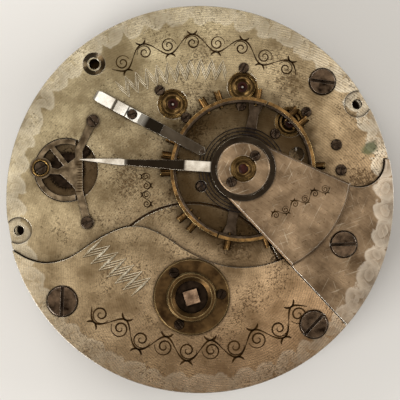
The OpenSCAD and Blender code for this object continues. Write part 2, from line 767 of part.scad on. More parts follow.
module regulator_index() color("#8f8b84") {
    place(balance_at, z_cock_top) difference() {
        cylinder(r = index_ring_out, h = index_t, $fn = 96);
        translate([0, 0, -1]) cylinder(r = index_ring_in, h = index_t + 2, $fn = 96);
    }
    place(balance_at, 0) rotate(index_dir) intersection() {
        // side view of the index: level at the ring, sloping down over the balance, level at the scale
        translate([0, 2, 0]) rotate([90, 0, 0]) linear_extrude(4) polygon([
            [index_ring_out - 0.3, z_cock_top], [index_flat_end, z_cock_top],
            [index_slope_end, z_index_tip], [index_reach, z_index_tip],
            [index_reach, z_index_tip + index_tip_t],
            [index_slope_end + 0.1, z_index_tip + index_tip_t + 0.1],
            [index_flat_end + 0.15, z_cock_top + index_t], [index_ring_out - 0.3, z_cock_top + index_t]
        ]);
        // plan view of the index
        linear_extrude(30) polygon([
            [index_ring_out - 0.3, -index_w / 2], [index_flat_end, -index_w / 2],
            [index_slope_end, -tip_w / 2], [index_slope_end + 0.6, -tip_w * 0.6],
            [index_reach, -0.06], [index_reach, 0.06],
            [index_slope_end + 0.6, tip_w * 0.6], [index_slope_end, tip_w / 2],
            [index_flat_end, index_w / 2], [index_ring_out - 0.3, index_w / 2]
        ]);
    }
}

curb_pin_r = 0.09;
curb_gap = 0.07;
curb_off = hairspring_t / 2 + curb_gap + curb_pin_r;
module curb_pins() color("#c2a35a") for (s = [-1, 1])
    hole(balance_at + polar(coil_r_at(index_dir) + s * curb_off, index_dir), curb_pin_r,
        z_spring - 0.05, z_cock_top);

module regulator_bridge() color("#6f665c") difference() {
    union() {
        regulator_bridge_flat();
        // pivot of the toothed wheel below
        hole(recess_at, sector_pivot_r, z_recess + 0.1, z_top + eps);
    }
    hole(adjuster_at, collar_r - 0.2, z_top - 1, z_top + 1);
    for (p = scale_screw_places)
        hole(p, small_hole_r, z_top - 1, z_top + 1);
}

module regulator_bridge_flat() {
    translate([0, 0, z_top]) linear_extrude(scale_t) {
        // strip between the two screws, with the scale on its straight right side
        for (p = scale_screw_places)
            translate(p) circle(r = 0.75);
        bar(scale_screw_places[0], recess_at + [scale_edge - 0.4, 2.2], 0.8);
        bar(recess_at + [scale_edge - 0.4, 2.4], recess_at + [scale_edge - 0.4, -2.4], 0.8);
        bar(recess_at + [scale_edge - 0.4, -2.2], scale_screw_places[1], 0.8);
        // fan from the collar to the scale
        translate(recess_at) polygon([
            [-2.2, -0.42], [-0.6, -0.5], [0.6, -1.6], [1.2, -2.4], [1.2, 1.5], [0.2, 0.7], [-0.9, 0.1],
            [-2.2, 0.42]
        ]);
        // spoke and the part ring on the left
        bar(recess_at + polar(0.4, 60), recess_at + polar(recess_r - 0.4, 122), 0.55);
        translate(recess_at) difference() {
            circle(r = recess_r - seam);
            circle(r = recess_r - seam - 0.55);
            translate([scale_edge - 0.8, -5]) square([10, 10]);
        }
        translate(adjuster_at) circle(r = collar_r + 0.2);
    }
}

module regulator_bridge_screws() color("#3d3630") for (p = scale_screw_places)
    screw(p, z_top + scale_t, 0.67, small_head_t, small_thread_r, seat_t + scale_t,
        p == scale_screw_places[0] ? -50 : 20);

module adjuster_collar() color("#b98f3e")
    ring_profile(adjuster_at, z_top + scale_t, [
        [adjuster_head_r + 0.04, 0], [collar_r, 0], [collar_r, 0.3], [collar_r - 0.08, 0.38],
        [adjuster_head_r + 0.08, 0.38], [adjuster_head_r + 0.04, 0.32]
    ]);

module regulator_adjuster() color("#6b6259") {
    sector_dir = angle_of(recess_at - adjuster_at);
    screw(adjuster_at, z_top + scale_t, adjuster_head_r, 0.3, adjuster_r, z_top + scale_t - z_under, 30);
    place(adjuster_at, z_sector - 0.05) linear_extrude(sector_t + 0.1) difference() {
        pinion_outline(adjuster_leaves, sector_mod, sector_dir);
        circle(r = adjuster_r - 0.05);
    }
}

post_dir = 41;
post_at = polar(recess_r - 0.36, post_dir);
module regulator_wheel() color("#a8873f") place(recess_at, z_sector) {
    linear_extrude(sector_t) difference() {
        union() {
            wheel_outline(sector_teeth, sector_mod, adjuster_leaves, angle_of(adjuster_at - recess_at));
            bar([0, 0], post_at, 0.7);
            translate(post_at) circle(r = 0.3);
        }
        circle(r = sector_pivot_r + run_gap);
    }
    place(post_at, 0) cylinder(r = post_r, h = z_index_tip + index_tip_t - z_sector);
}

// Hairspring, its stud and the arm that holds the stud
stud_dir = 156.5;
collet_r = 0.9;
spring_in_r = collet_r + 0.15;
coil_pitch = (hairspring_r - spring_in_r) / hairspring_turns;
function coil_r_at(dir) = hairspring_r - coil_pitch * (dir - stud_dir) / 360;
spring_line = spiral_line(hairspring_r, spring_in_r, hairspring_turns, stud_dir);
echo(hairspring_least_gap = spiral_gap(spring_line, hairspring_t));

module hairspring() color("#2e3350") place(balance_at, z_spring)
    spiral_strip(hairspring_r, spring_in_r, hairspring_turns, stud_dir, hairspring_t, spring_h);

stud_end = balance_at + polar(hairspring_r, stud_dir);
stud_tail = [-11.57, 11.62];
stud_along = angle_of(stud_end - stud_tail);
stud_l = norm(stud_end - stud_tail);
stud_screw_s = 4.62;
stud_screw_at = stud_tail + polar(stud_screw_s, stud_along);
stud_w = 1.25;
stud_arm_t = 0.4;
z_stud_arm = z_rim + rim_h + 0.3;

module stud_arm() color("#8f8b84") difference() {
    place(stud_tail, 0) rotate(stud_along) intersection() {
        translate([0, 3, 0]) rotate([90, 0, 0]) linear_extrude(6) polygon([
            [0, z_top + 0.35], [2.3, z_top], [5.4, z_top], [8.6, z_stud_arm], [stud_l + 0.6, z_stud_arm],
            [stud_l + 0.6, z_stud_arm + stud_arm_t], [8.4, z_stud_arm + stud_arm_t], [5.5, z_top + 0.6],
            [4, z_top + 0.5], [3.9, z_top + 0.78], [2.55, z_top + 0.72], [2.35, z_top + 0.55],
            [2.2, z_top + 0.82], [0.2, z_top + 0.95], [0, z_top + 0.85]
        ]);
        linear_extrude(30) polygon([
            [0, -0.5], [0.5, -stud_w / 2], [7, -stud_w / 2], [stud_l, -0.5], [stud_l + 0.5, 0],
            [stud_l, 0.5], [7, stud_w / 2], [0.5, stud_w / 2], [0, 0.5]
        ]);
    }
    hole(stud_screw_at, small_hole_r, z_top - 1, z_top + 2);
    hole(stud_screw_at, small_head_r + 0.02, z_top + 0.35, z_top + 2);
    hole(stud_end, stud_r, z_stud_arm - 1, z_stud_arm + 2);
}

module stud_arm_screw() color("#3d3630")
    screw(stud_screw_at, z_top + 0.35, small_head_r, 0.3, small_thread_r, seat_t + 0.35, 15);

stud_r = 0.28;
module hairspring_stud() color("#4f4a45") difference() {
    hole(stud_end, stud_r, z_spring - 0.1, z_stud_arm + stud_arm_t);
    // slot that the strip's end is pinned in
    place(balance_at, z_spring - 0.02)
        spiral_strip(hairspring_r, spring_in_r, hairspring_turns, stud_dir, hairspring_t + 0.04,
            spring_h + 0.04);
}

// Barrel, mainspring, winding arbor, ratchet and click
barrel_pivot_r = 0.7;
barrel_pivot_l = 1.1;
barrel_arbor_r = 0.95;
barrel_upper_r = 1.2;
arbor_core_r = 2.3;
z_barrel_top = z_barrel + barrel_h;
cover_gap = 0.03;

module barrel() color("#b8923f") difference() {
    union() {
        place(barrel_at, z_barrel) linear_extrude(barrel_tooth_t)
            wheel_outline(barrel_teeth, barrel_mod, centre_leaves, angle_of(centre_at - barrel_at));
        place(barrel_at, z_barrel) cylinder(r = drum_r, h = barrel_h, $fn = 120);
    }
    place(barrel_at, z_barrel + barrel_wall) cylinder(r = drum_r - barrel_wall, h = 9, $fn = 120);
    place(barrel_at, z_barrel_top - barrel_wall)
        cylinder(r = drum_r - barrel_wall / 2, h = 9, $fn = 120);
    hole(barrel_at, barrel_arbor_r + run_gap, z_barrel - 1, z_barrel_top + 1);
}

module barrel_cover() color("#c29d4a") difference() {
    place(barrel_at, z_barrel_top - barrel_wall)
        cylinder(r = drum_r - barrel_wall / 2 - cover_gap, h = barrel_wall, $fn = 120);
    hole(barrel_at, barrel_arbor_r + run_gap, z_barrel, z_barrel_top + 1);
}

mainspring_out = drum_r - barrel_wall - 0.25;
mainspring_in = arbor_core_r + 0.35;
z_core = z_barrel + barrel_wall + 0.1;
core_h = barrel_h - 2 * barrel_wall - 0.2;
echo(mainspring_least_gap = spiral_gap(
    spiral_line(mainspring_out, mainspring_in, mainspring_turns, 40), mainspring_t));
module mainspring() color("#4a5266") place(barrel_at, z_core)
    spiral_strip(mainspring_out, mainspring_in, mainspring_turns, 40, mainspring_t, core_h);

square_dir = 17;
z_square = z_bridge - ratchet_floor + 0.1;
z_square_top = z_bridge + 0.75;
module barrel_arbor() color("#9a948a") {
    turned(barrel_at, z_low - barrel_pivot_l + 0.1, [
        [barrel_pivot_r, z_barrel - 0.1], [barrel_arbor_r, z_core], [arbor_core_r, z_core + core_h],
        [barrel_arbor_r, z_under - 0.15], [barrel_upper_r, z_square]
    ]);
    place(barrel_at, z_square - eps) rotate(square_dir)
        translate([-winding_square / 2, -winding_square / 2, 0])
            cube([winding_square, winding_square, z_square_top - z_square]);
}

// Ratchet teeth with a steep side and a long back, and a square hole for the arbor
ratchet_root_r = ratchet_r - 0.32;
tooth_pitch = 360 / ratchet_teeth;
click_at = barrel_at + polar(3.25, 338);
click_tooth_dir = 300;
module ratchet_wheel() color("#7d766c") place(barrel_at, z_square) linear_extrude(ratchet_t)
    difference() {
        polygon([
            for (i = [0 : ratchet_teeth - 1])
                let (a = click_tooth_dir + i * tooth_pitch)
                each [polar(ratchet_r, a - 3), polar(ratchet_r, a - 1), polar(ratchet_root_r, a)]
        ]);
        rotate(square_dir) square(winding_square + 0.06, center = true);
    }

// Click: a pivoted pawl whose nose lies in a tooth space of the ratchet
click_gap = 0.14;
module click() color("#7d766c") difference() {
    translate([0, 0, z_square]) linear_extrude(ratchet_t) {
        nose = barrel_at + polar(ratchet_root_r + click_gap, click_tooth_dir + 2.2);
        translate(click_at) circle(r = 0.42);
        polygon([
            nose, barrel_at + polar(ratchet_r + 0.3, click_tooth_dir + 1),
            barrel_at + polar(ratchet_r + 0.55, click_tooth_dir + 8), click_at + polar(0.42, -40),
            click_at + polar(0.42, 150), barrel_at + polar(ratchet_r + 0.2, click_tooth_dir + 16)
        ]);
    }
    hole(click_at, click_pin_r + run_gap, z_square - 1, z_bridge);
}

// Leaf spring bent along the pocket wall behind the click, with its own pivot pin for the click
click_pin_r = 0.2;
module click_spring() color("#59616f") {
    place(barrel_at, z_square) linear_extrude(ratchet_t) intersection() {
        difference() {
            circle(r = click_pocket_r - 0.05);
            circle(r = click_pocket_r - 0.2);
        }
        polygon([[0, 0], polar(9, click_pocket_low + 9), polar(9, click_pocket_low + 59)]);
    }
    place(barrel_at, z_bridge - ratchet_floor) linear_extrude(ratchet_floor - 0.1) intersection() {
        difference() {
            circle(r = click_pocket_r - 0.05);
            circle(r = click_pocket_r - 0.6);
        }
        polygon([[0, 0], polar(9, click_pocket_low + 4), polar(9, click_pocket_low + 14)]);
    }
    hole(click_at, click_pin_r, z_bridge - ratchet_floor, z_bridge - 0.05);
}

cap_plate_t = 0.35;
lip_h = 0.5;
module ratchet_cap() color("#6e5c3a") difference() {
    ring_profile(barrel_at, z_bridge, [
        [key_hole_r, 0], [ratchet_cap_r, 0], [ratchet_cap_r, cap_plate_t - 0.1],
        [ratchet_cap_r - 0.12, cap_plate_t], [ratchet_lip_r, cap_plate_t],
        [ratchet_lip_r, cap_plate_t + lip_h - 0.1], [ratchet_lip_r - 0.12, cap_plate_t + lip_h],
        [key_hole_r + 0.45, cap_plate_t + lip_h], [key_hole_r, lip_h]
    ]);
    for (a = ratchet_screw_dirs)
        hole(barrel_at + polar(ratchet_screw_r, a), small_hole_r, z_bridge - 1, z_bridge + 1);
}

module ratchet_cap_screws() color("#4a3f38") for (a = ratchet_screw_dirs)
    screw(barrel_at + polar(ratchet_screw_r, a), z_bridge + cap_plate_t, small_head_r, 0.2, small_thread_r,
        cap_plate_t + 0.7, a + 60);

// Going train

centre_arbor_r = 0.42;
setting_square = 0.58;
z_centre_pinion = z_barrel - 0.1;
centre_pinion_h = barrel_tooth_t + 0.2;
z_cannon_end = z_dial - cannon_reach;

module centre_wheel() color("#c2a35a")
    spoked_wheel(centre_at, z_centre_wheel, centre_wheel_t, centre_teeth, centre_mod, third_leaves,
        third_dir, 1.5, centre_arbor_r, 5, 0.9);

module centre_pinion() color("#8d8880") {
    turned(centre_at, z_cannon_end, [
        [centre_arbor_r, z_centre_pinion + centre_pinion_h + 0.05],
        [centre_arbor_r - 0.05, z_under - end_shake], [pivot_r * 2, z_under + ledge_t * 0.7]
    ]);
    translate([0, 0, z_centre_pinion]) linear_extrude(centre_pinion_h) difference() {
        pinion_outline(centre_leaves, barrel_mod, barrel_dir);
        circle(r = centre_arbor_r - 0.1);
    }
    // collar that carries the wheel
    hole(centre_at, 0.9, z_centre_wheel + centre_wheel_t, z_centre_pinion + eps);
    // square for setting the hands with a key
    translate([-setting_square / 2, -setting_square / 2, z_cannon_end - 0.5])
        cube([setting_square, setting_square, 0.5 + eps]);
}

z_cannon_leaves = z_dial + 0.65;
z_hand_step = z_dial - hour_reach - 0.05;
module cannon_pinion() color("#9a948a") difference() {
    union() {
        hole(centre_at, minute_seat_r, z_cannon_end, z_hand_step + eps);
        hole(centre_at, cannon_r, z_hand_step, -0.1);
        translate([0, 0, z_cannon_leaves]) linear_extrude(-0.1 - z_cannon_leaves)
            pinion_outline(cannon_leaves, cannon_mod, minute_dir);
    }
    hole(centre_at, centre_arbor_r + eps, z_cannon_end - 1, 1);
}

module train_arbor(at, z_wheel, z_leaves, leaf_h, leaves, m, space_dir, z_foot, foot_r) {
    core_r = leaves * m / 2 - 1.6 * m;
    slim = min(arbor_r, core_r + 0.02);
    turned(at, z_foot, [
        [foot_r, z_low + end_shake], [slim, z_under - end_shake], [pivot_r, z_seat + jewel_t * 0.7]
    ]);
    place(at, z_leaves) linear_extrude(leaf_h) difference() {
        pinion_outline(leaves, m, space_dir);
        circle(r = slim - 0.05);
    }
    // hub that the wheel is riveted to
    difference() {
        hole(at, slim + 0.35, z_wheel - 0.3, z_wheel + wheel_t);
        hole(at, slim - 0.05, z_wheel - 1, z_wheel + 1);
        place(at, z_wheel) difference() {
            cylinder(r = slim + 1, h = 2);
            translate([0, 0, -1]) cylinder(r = slim + 0.2, h = 4);
        }
    }
}

module third_wheel() color("#c2a35a")
    spoked_wheel(third_at, z_third_wheel, wheel_t, third_teeth, third_mod, fourth_leaves,
        fourth_dir, 0.9, arbor_r + 0.2, 5, 0.6);

module third_pinion() color("#8d8880")
    train_arbor(third_at, z_third_wheel, z_centre_wheel - 0.15, centre_wheel_t + 0.4, third_leaves,
        centre_mod, third_dir + 180, z_low - jewel_t, pivot_r);

module fourth_wheel() color("#c2a35a")
    spoked_wheel(fourth_at, z_fourth_wheel, wheel_t, fourth_teeth, fourth_mod, escape_leaves,
        escape_dir, 0.9, arbor_r + 0.2, 5, 0.55);

seconds_r = 0.2;
module fourth_pinion() color("#8d8880")
    train_arbor(fourth_at, z_fourth_wheel, z_third_wheel - 0.2, wheel_t + 0.4, fourth_leaves, third_mod,
        fourth_dir + 180, z_dial - seconds_reach, seconds_r);

// Club-toothed escape wheel, set so that both stones stand over a space between teeth
escape_root_r = escape_r - 0.85;
escape_phase = lever_dir - 30 - 8.15;
module escape_wheel() color("#8f8a80") place(escape_at, z_escape_wheel) linear_extrude(wheel_t)
    difference() {
        polygon([
            for (i = [0 : escape_teeth - 1])
                let (a = escape_phase + i * 360 / escape_teeth)
                each [
                    polar(escape_root_r, a + 5), polar(escape_r - 0.08, a), polar(escape_r, a + 3),
                    polar(escape_r - 0.25, a + 5), polar(escape_root_r + 0.1, a + 11)
                ]
        ]);
        spoke_openings(0.8, escape_root_r - 0.4, 4, 0.45, 0);
        circle(r = escape_core_r + 0.2);
    }

escape_core_r = min(arbor_r, escape_leaves * fourth_mod / 2 - 1.6 * fourth_mod + 0.02);
module escape_pinion() color("#8d8880")
    train_arbor(escape_at, z_escape_wheel, z_fourth_wheel - 0.15, wheel_t + 0.3, escape_leaves, fourth_mod,
        escape_dir + 180, z_low - jewel_t, pivot_r);

// Lever: pallet frame, arbor, stones and the two pins that stop it. Local x runs to the escape wheel.
pin_r = 0.11;
// The fork ends just short of the circle that the impulse pin runs on, so that each can move alone.
fork_tip = lever_reach - impulse_r - pin_r - 0.06;
notch_half = 0.15;
tine_half = 0.27;
stone_l = 0.95;
stone_drop = 0.06;
stone_h = 0.5;
module on_lever(z) {
    place(pallet_at, z) rotate(lever_dir + 180) children();
}
module stone_outline(s) {
    // a stone points at the escape axis, 30 degrees off the line of centres
    translate([escape_r / cos(30), 0]) rotate(180 - s * 30)
        translate([escape_r + stone_drop, -stone_w / 2]) square([stone_l, stone_w]);
}
module pallet_fork() color("#8f8a80") on_lever(z_fork) linear_extrude(wheel_t) difference() {
    union() {
        circle(r = 0.5);
        polygon([
            [-0.5, -2.0], [-0.2, -2.45], [0.3, -2.35], [0.3, -1.2], [0.35, 0],
            [0.3, 1.2], [0.3, 2.35], [-0.2, 2.45], [-0.5, 2.0]
        ]);
        polygon([
            [0, 0.28], [-fork_tip + 0.9, 0.2], [-fork_tip + 0.5, tine_half], [-fork_tip, tine_half],
            [-fork_tip, -tine_half], [-fork_tip + 0.5, -tine_half], [-fork_tip + 0.9, -0.2], [0, -0.28]
        ]);
    }
    circle(r = pallet_core_r);
    translate([-fork_tip - 1, -notch_half]) square([1.36, 2 * notch_half]);
    for (s = [-1, 1])
        stone_outline(s);
}

pallet_core_r = 0.25;
module pallet_arbor() color("#8d8880")
    turned(pallet_at, z_potance + 0.15, [
        [pivot_r, z_potance + potance_t + 0.05], [pallet_core_r, z_under - end_shake],
        [pivot_r, z_under + 0.4]
    ]);

module pallet_stones() color("#8c1f2e") on_lever(z_fork + wheel_t / 2 - stone_h / 2) linear_extrude(stone_h)
    for (s = [-1, 1])
        stone_outline(s);

banking_r = 0.12;
banking_reach = 1.75;
function banking_at(s) = pallet_at + polar(banking_reach, lever_dir) + polar(0.58 * s, lever_dir + 90);
module banking_pins() color("#c2a35a") for (s = [-1, 1])
    hole(banking_at(s), banking_r, z_potance, z_fork + wheel_t);

// Balance: two-layer split rim on two arms, timing screws, staff, roller and collet
arm_dir = 78.5;
split_off = 9;
module split_ring(r_out, r_in, h, split) {
    linear_extrude(h) difference() {
        circle(r = r_out, $fn = 120);
        circle(r = r_in, $fn = 120);
        for (half_turn = [0, 180])
            rotate(arm_dir - split + half_turn) translate([0, -0.08]) square([r_out + 1, 0.16]);
    }
}

rim_mid_r = rim_r - rim_brass_w;
module balance_rim() color("#c29a3e") difference() {
    place(balance_at, z_rim) split_ring(rim_r, rim_mid_r, rim_h, split_off);
    for (a = timing_dirs)
        radial_hole(a, timing_thread_r);
}

rim_in_r = rim_mid_r - rim_steel_w;
hub_bore_r = 0.55;
module balance_arms() color("#8f8a80") difference() {
    union() {
        place(balance_at, z_rim) split_ring(rim_mid_r, rim_in_r, rim_h, split_off);
        place(balance_at, z_arm) linear_extrude(arm_t) {
            circle(r = 1.35);
            for (half_turn = [0, 180])
                rotate(arm_dir + half_turn) polygon([
                    [0, -0.75], [rim_in_r - 1.2, -0.5], [rim_in_r + 0.05, -0.8], [rim_in_r + 0.05, 0.8],
                    [rim_in_r - 1.2, 0.5], [0, 0.75]
                ]);
        }
    }
    hole(balance_at, hub_bore_r, z_arm - 1, z_arm + 1);
    for (a = timing_dirs)
        radial_hole(a, timing_thread_r);
}

// Timing screws, in the same pattern on each half of the rim
timing_thread_r = 0.2;
timing_steps = [0, 30, 42, 79, 91, 104, 140, 150];
timing_dirs = [for (half_turn = [0, 180], a = timing_steps) arm_dir + half_turn + a];
z_timing = z_rim + rim_h / 2;
module radial_hole(dir, r) {
    place(balance_at, z_timing) rotate(dir) translate([rim_in_r - 0.3, 0, 0])
        rotate([0, 90, 0]) cylinder(r = r, h = rim_r - rim_in_r + 1);
}
module timing_screws() color("#c8a24c") for (a = timing_dirs)
    place(balance_at, z_timing) rotate(a) difference() {
        union() {
            translate([rim_r + 0.02, 0, 0]) rotate([0, 90, 0])
                cylinder(r = timing_head_r, h = timing_r - rim_r - 0.02);
            translate([rim_in_r - 0.25, 0, 0]) rotate([0, 90, 0])
                cylinder(r = timing_thread_r - 0.02, h = rim_r - rim_in_r + 0.3);
        }
        translate([timing_r - 0.15, -0.07, -1]) cube([1, 0.14, 2]);
    }

roller_r = 1.35;
roller_t = 0.25;
roller_seat_r = 0.35;
collet_seat_r = 0.45;
module balance_staff() color("#8d8880")
    turned(balance_at, z_potance + 0.05, [
        [pivot_r, z_potance + jewel_t + 0.1], [0.3, z_roller], [roller_seat_r, z_roller + roller_t + 0.1],
        [hub_bore_r + 0.1, z_arm - 0.25], [1.05, z_arm], [hub_bore_r - 0.02, z_arm + arm_t],
        [collet_seat_r, z_cock - 0.3], [0.28, z_cock], [pivot_r, z_cock + 0.1 + jewel_t * 0.9]
    ]);

// Roller table with the impulse pin, which faces the notch of the lever at rest
pin_dir = lever_dir + 180;
module roller() color("#7d786f") {
    difference() {
        hole(balance_at, roller_r, z_roller, z_roller + roller_t);
        hole(balance_at, roller_seat_r, z_roller - 1, z_roller + 1);
    }
    hole(balance_at + polar(impulse_r, pin_dir), pin_r, z_fork - 0.1, z_roller + eps);
}

module hairspring_collet() color("#c2a35a") difference() {
    hole(balance_at, collet_r, z_spring - 0.1, z_spring + spring_h + 0.1);
    hole(balance_at, collet_seat_r, z_spring - 1, z_spring + 1);
}

// Motion work on the dial side
minute_stud_r = 0.4;
minute_stud_seat = 1.2;
z_minute_wheel = z_dial + 0.75;
minute_wheel_t = 0.3;
z_hour_wheel = z_dial + 0.15;

module minute_wheel() color("#c2a35a") difference() {
    union() {
        place(minute_at, z_minute_wheel) linear_extrude(minute_wheel_t)
            wheel_outline(minute_teeth, cannon_mod, cannon_leaves, minute_dir + 180);
        place(minute_at, z_dial + 0.1) linear_extrude(z_minute_wheel - z_dial - 0.1 + eps)
            pinion_outline(minute_leaves, hour_mod, minute_dir + 180);
    }
    hole(minute_at, minute_stud_r + run_gap, z_dial - 1, 1);
}

module minute_stud() color("#8d8880")
    hole(minute_at, minute_stud_r, z_dial + 0.1, minute_stud_seat);

module hour_wheel() color("#c2a35a") difference() {
    union() {
        translate([0, 0, z_hour_wheel]) linear_extrude(minute_wheel_t)
            wheel_outline(hour_teeth, hour_mod, minute_leaves, minute_dir);
        hole(centre_at, hour_pipe_r, z_dial - hour_reach, z_hour_wheel + eps);
    }
    hole(centre_at, cannon_r + run_gap, z_dial - hour_reach - 1, 1);
}

pillar_plate();
pillars();
top_plate();
barrel_bridge();
balance_cock();
potance();
plate_screws();
cock_screw();
potance_screws();
lobe_screws();
jewel_settings();
upper_jewels();
setting_screws();
lower_jewels();
balance_cap();
balance_cap_setting();
balance_cap_jewel();
balance_cap_screws();
regulator_index();
curb_pins();
regulator_bridge();
regulator_bridge_screws();
adjuster_collar();
regulator_adjuster();
regulator_wheel();
stud_arm();
stud_arm_screw();
hairspring_stud();
hairspring();
barrel();
barrel_cover();
mainspring();
barrel_arbor();
ratchet_wheel();
click();
click_spring();
ratchet_cap();
ratchet_cap_screws();
centre_wheel();
centre_pinion();
cannon_pinion();
third_wheel();
third_pinion();
fourth_wheel();
fourth_pinion();
escape_wheel();
escape_pinion();
pallet_fork();
pallet_arbor();
pallet_stones();
banking_pins();
balance_rim();
balance_arms();
timing_screws();
balance_staff();
roller();
hairspring_collet();
minute_wheel();
minute_stud();
hour_wheel();
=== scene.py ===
# %% [markdown]
# # A full-plate pocket watch movement
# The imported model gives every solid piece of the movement: plates, cock, balance, train and screws.
# This lesson gives them their finishes, adds what is too fine for solids, such as engraving and
# hairspring coils, and then lights the movement and looks straight down on its back.

# %% Load the solids
import json
import math

import bmesh
import bpy
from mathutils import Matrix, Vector


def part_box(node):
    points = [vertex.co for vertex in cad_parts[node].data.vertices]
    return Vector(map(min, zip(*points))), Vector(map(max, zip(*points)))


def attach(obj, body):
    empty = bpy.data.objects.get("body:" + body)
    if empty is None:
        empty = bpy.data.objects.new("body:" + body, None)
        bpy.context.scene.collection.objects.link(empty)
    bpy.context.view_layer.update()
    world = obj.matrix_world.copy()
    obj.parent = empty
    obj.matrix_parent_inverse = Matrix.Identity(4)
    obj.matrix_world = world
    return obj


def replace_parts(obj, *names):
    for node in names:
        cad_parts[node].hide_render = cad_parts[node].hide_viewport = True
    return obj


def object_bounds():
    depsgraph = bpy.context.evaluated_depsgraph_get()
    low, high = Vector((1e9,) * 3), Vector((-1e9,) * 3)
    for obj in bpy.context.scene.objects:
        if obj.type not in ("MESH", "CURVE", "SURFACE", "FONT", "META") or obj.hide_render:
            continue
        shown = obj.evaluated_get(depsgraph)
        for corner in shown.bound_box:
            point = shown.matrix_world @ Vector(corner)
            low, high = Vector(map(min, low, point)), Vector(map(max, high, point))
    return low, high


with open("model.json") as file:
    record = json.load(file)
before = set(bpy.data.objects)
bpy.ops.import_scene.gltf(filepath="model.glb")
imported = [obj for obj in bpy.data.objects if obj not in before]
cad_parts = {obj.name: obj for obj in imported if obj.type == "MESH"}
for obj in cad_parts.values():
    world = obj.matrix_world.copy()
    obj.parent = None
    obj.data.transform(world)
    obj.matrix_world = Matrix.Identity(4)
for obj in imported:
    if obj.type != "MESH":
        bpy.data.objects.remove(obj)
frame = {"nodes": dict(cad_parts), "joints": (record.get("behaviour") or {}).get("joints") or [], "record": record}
cad_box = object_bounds()
nodes = frame["nodes"]
scene = bpy.context.scene
MM = 0.001  # a millimetre, in Blender's metres
print(len(nodes), "solids loaded")

# %% [markdown]
# ## Camera
# The movement was photographed from straight above at close range. From about 175 mm the dial-side
# flange, which is wider than the top plate but lies lower, hides behind the top plate's edge. The lens
# could be tried out by eye, but it also follows from similar triangles: the sensor is to the lens as
# the picture's width on the top plate is to the camera's height over it.

# %% Camera straight above
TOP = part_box("top_plate")[1].z
PIXEL = 0.1118 * MM  # on the top plate
PICTURE_WIDTH = 400 * PIXEL
CAMERA_HEIGHT = 175 * MM
SENSOR_WIDTH = 36
AIM_X, AIM_Y = 0.06 * MM, -0.11 * MM  # the picture's middle is a little off the plate's
camera_data = bpy.data.cameras.new("overhead_camera")
camera_data.sensor_width = SENSOR_WIDTH
camera_data.lens = SENSOR_WIDTH * CAMERA_HEIGHT / PICTURE_WIDTH
camera_data.clip_start = 10 * MM
camera = bpy.data.objects.new("overhead_camera", camera_data)
camera.location = (AIM_X, AIM_Y, TOP + CAMERA_HEIGHT)
scene.collection.objects.link(camera)
scene.camera = camera
print("lens %.0f mm, top plate at %.2f mm" % (camera_data.lens, TOP / MM))

# %% [markdown]
# ## Room and floor
# Metal shows what surrounds it, so the room matters as much as the metal. It is dim and slightly warm,
# and the movement lies on pale paper, level with its lowest point. Colours are written as sRGB hex, as
# a paint program shows them, but shaders work with linear light, so one function turns them over.

# %% Room and floor
def linear(hex_code):
    parts = [int(hex_code[i:i + 2], 16) / 255 for i in (1, 3, 5)]
    return tuple(c / 12.92 if c <= 0.04045 else ((c + 0.055) / 1.055) ** 2.4 for c in parts) + (1.0,)


scene.view_settings.view_transform = "Standard"
world = bpy.data.worlds.new("dim_room")
world.use_nodes = True
world.node_tree.nodes["Background"].inputs["Color"].default_value = linear("#d9d4cc")
world.node_tree.nodes["Background"].inputs["Strength"].default_value = 0.5
scene.world = world

floor_z = cad_box[0][2]
corners = [(x, y, floor_z) for x, y in ((-1, -1), (1, -1), (1, 1), (-1, 1))]
floor_mesh = bpy.data.meshes.new("floor")
floor_mesh.from_pydata(corners, [], [(0, 1, 2, 3)])
floor = bpy.data.objects.new("floor", floor_mesh)
scene.collection.objects.link(floor)
# uncoated paper: pale and matt, with soft shadows and no mirror image
paper = bpy.data.materials.new("pale_matt_paper")
paper.use_nodes = True
paper_shader = paper.node_tree.nodes["Principled BSDF"]
paper_shader.inputs["Base Color"].default_value = linear("#ebe8e3")
paper_shader.inputs["Roughness"].default_value = 0.9
floor.data.materials.append(paper)
print("floor at %.2f mm" % (floor_z / MM))

# %% [markdown]
# ## Lamps
# A long strip light straight above is what every flat, polished face mirrors up to the camera, so flats
# look bright, and less so towards the top and bottom of the picture, where the strip ends. Faces that
# slope away mirror the dimmer room, so they look dark. Softboxes low at the sides draw the edges and
# light the floor. Small lamps would do too, but metal would show each of them as a hard spot.

# %% Lamps
LAMPS = {
    # name: (place, width, depth, power), metres and watts
    "overhead_strip": ((0.0, 0.01, 0.48), 0.44, 0.14, 0.30),
    "lower_left_softbox": ((-0.24, -0.20, 0.16), 0.20, 0.20, 0.90),
    "upper_left_softbox": ((-0.16, 0.26, 0.24), 0.20, 0.20, 0.40),
    "right_softbox": ((0.30, 0.06, 0.16), 0.18, 0.18, 0.35),
}
for name, (place, width, depth, power) in LAMPS.items():
    lamp_data = bpy.data.lights.new(name, "AREA")
    lamp_data.shape = "RECTANGLE"
    lamp_data.size = width
    lamp_data.size_y = depth
    lamp_data.energy = power
    lamp = bpy.data.objects.new(name, lamp_data)
    lamp.location = place
    lamp.rotation_euler = (-lamp.location).to_track_quat("-Z", "Y").to_euler()
    scene.collection.objects.link(lamp)
print(len(LAMPS), "lamps, %.2f W together" % sum(lamp[-1] for lamp in LAMPS.values()))
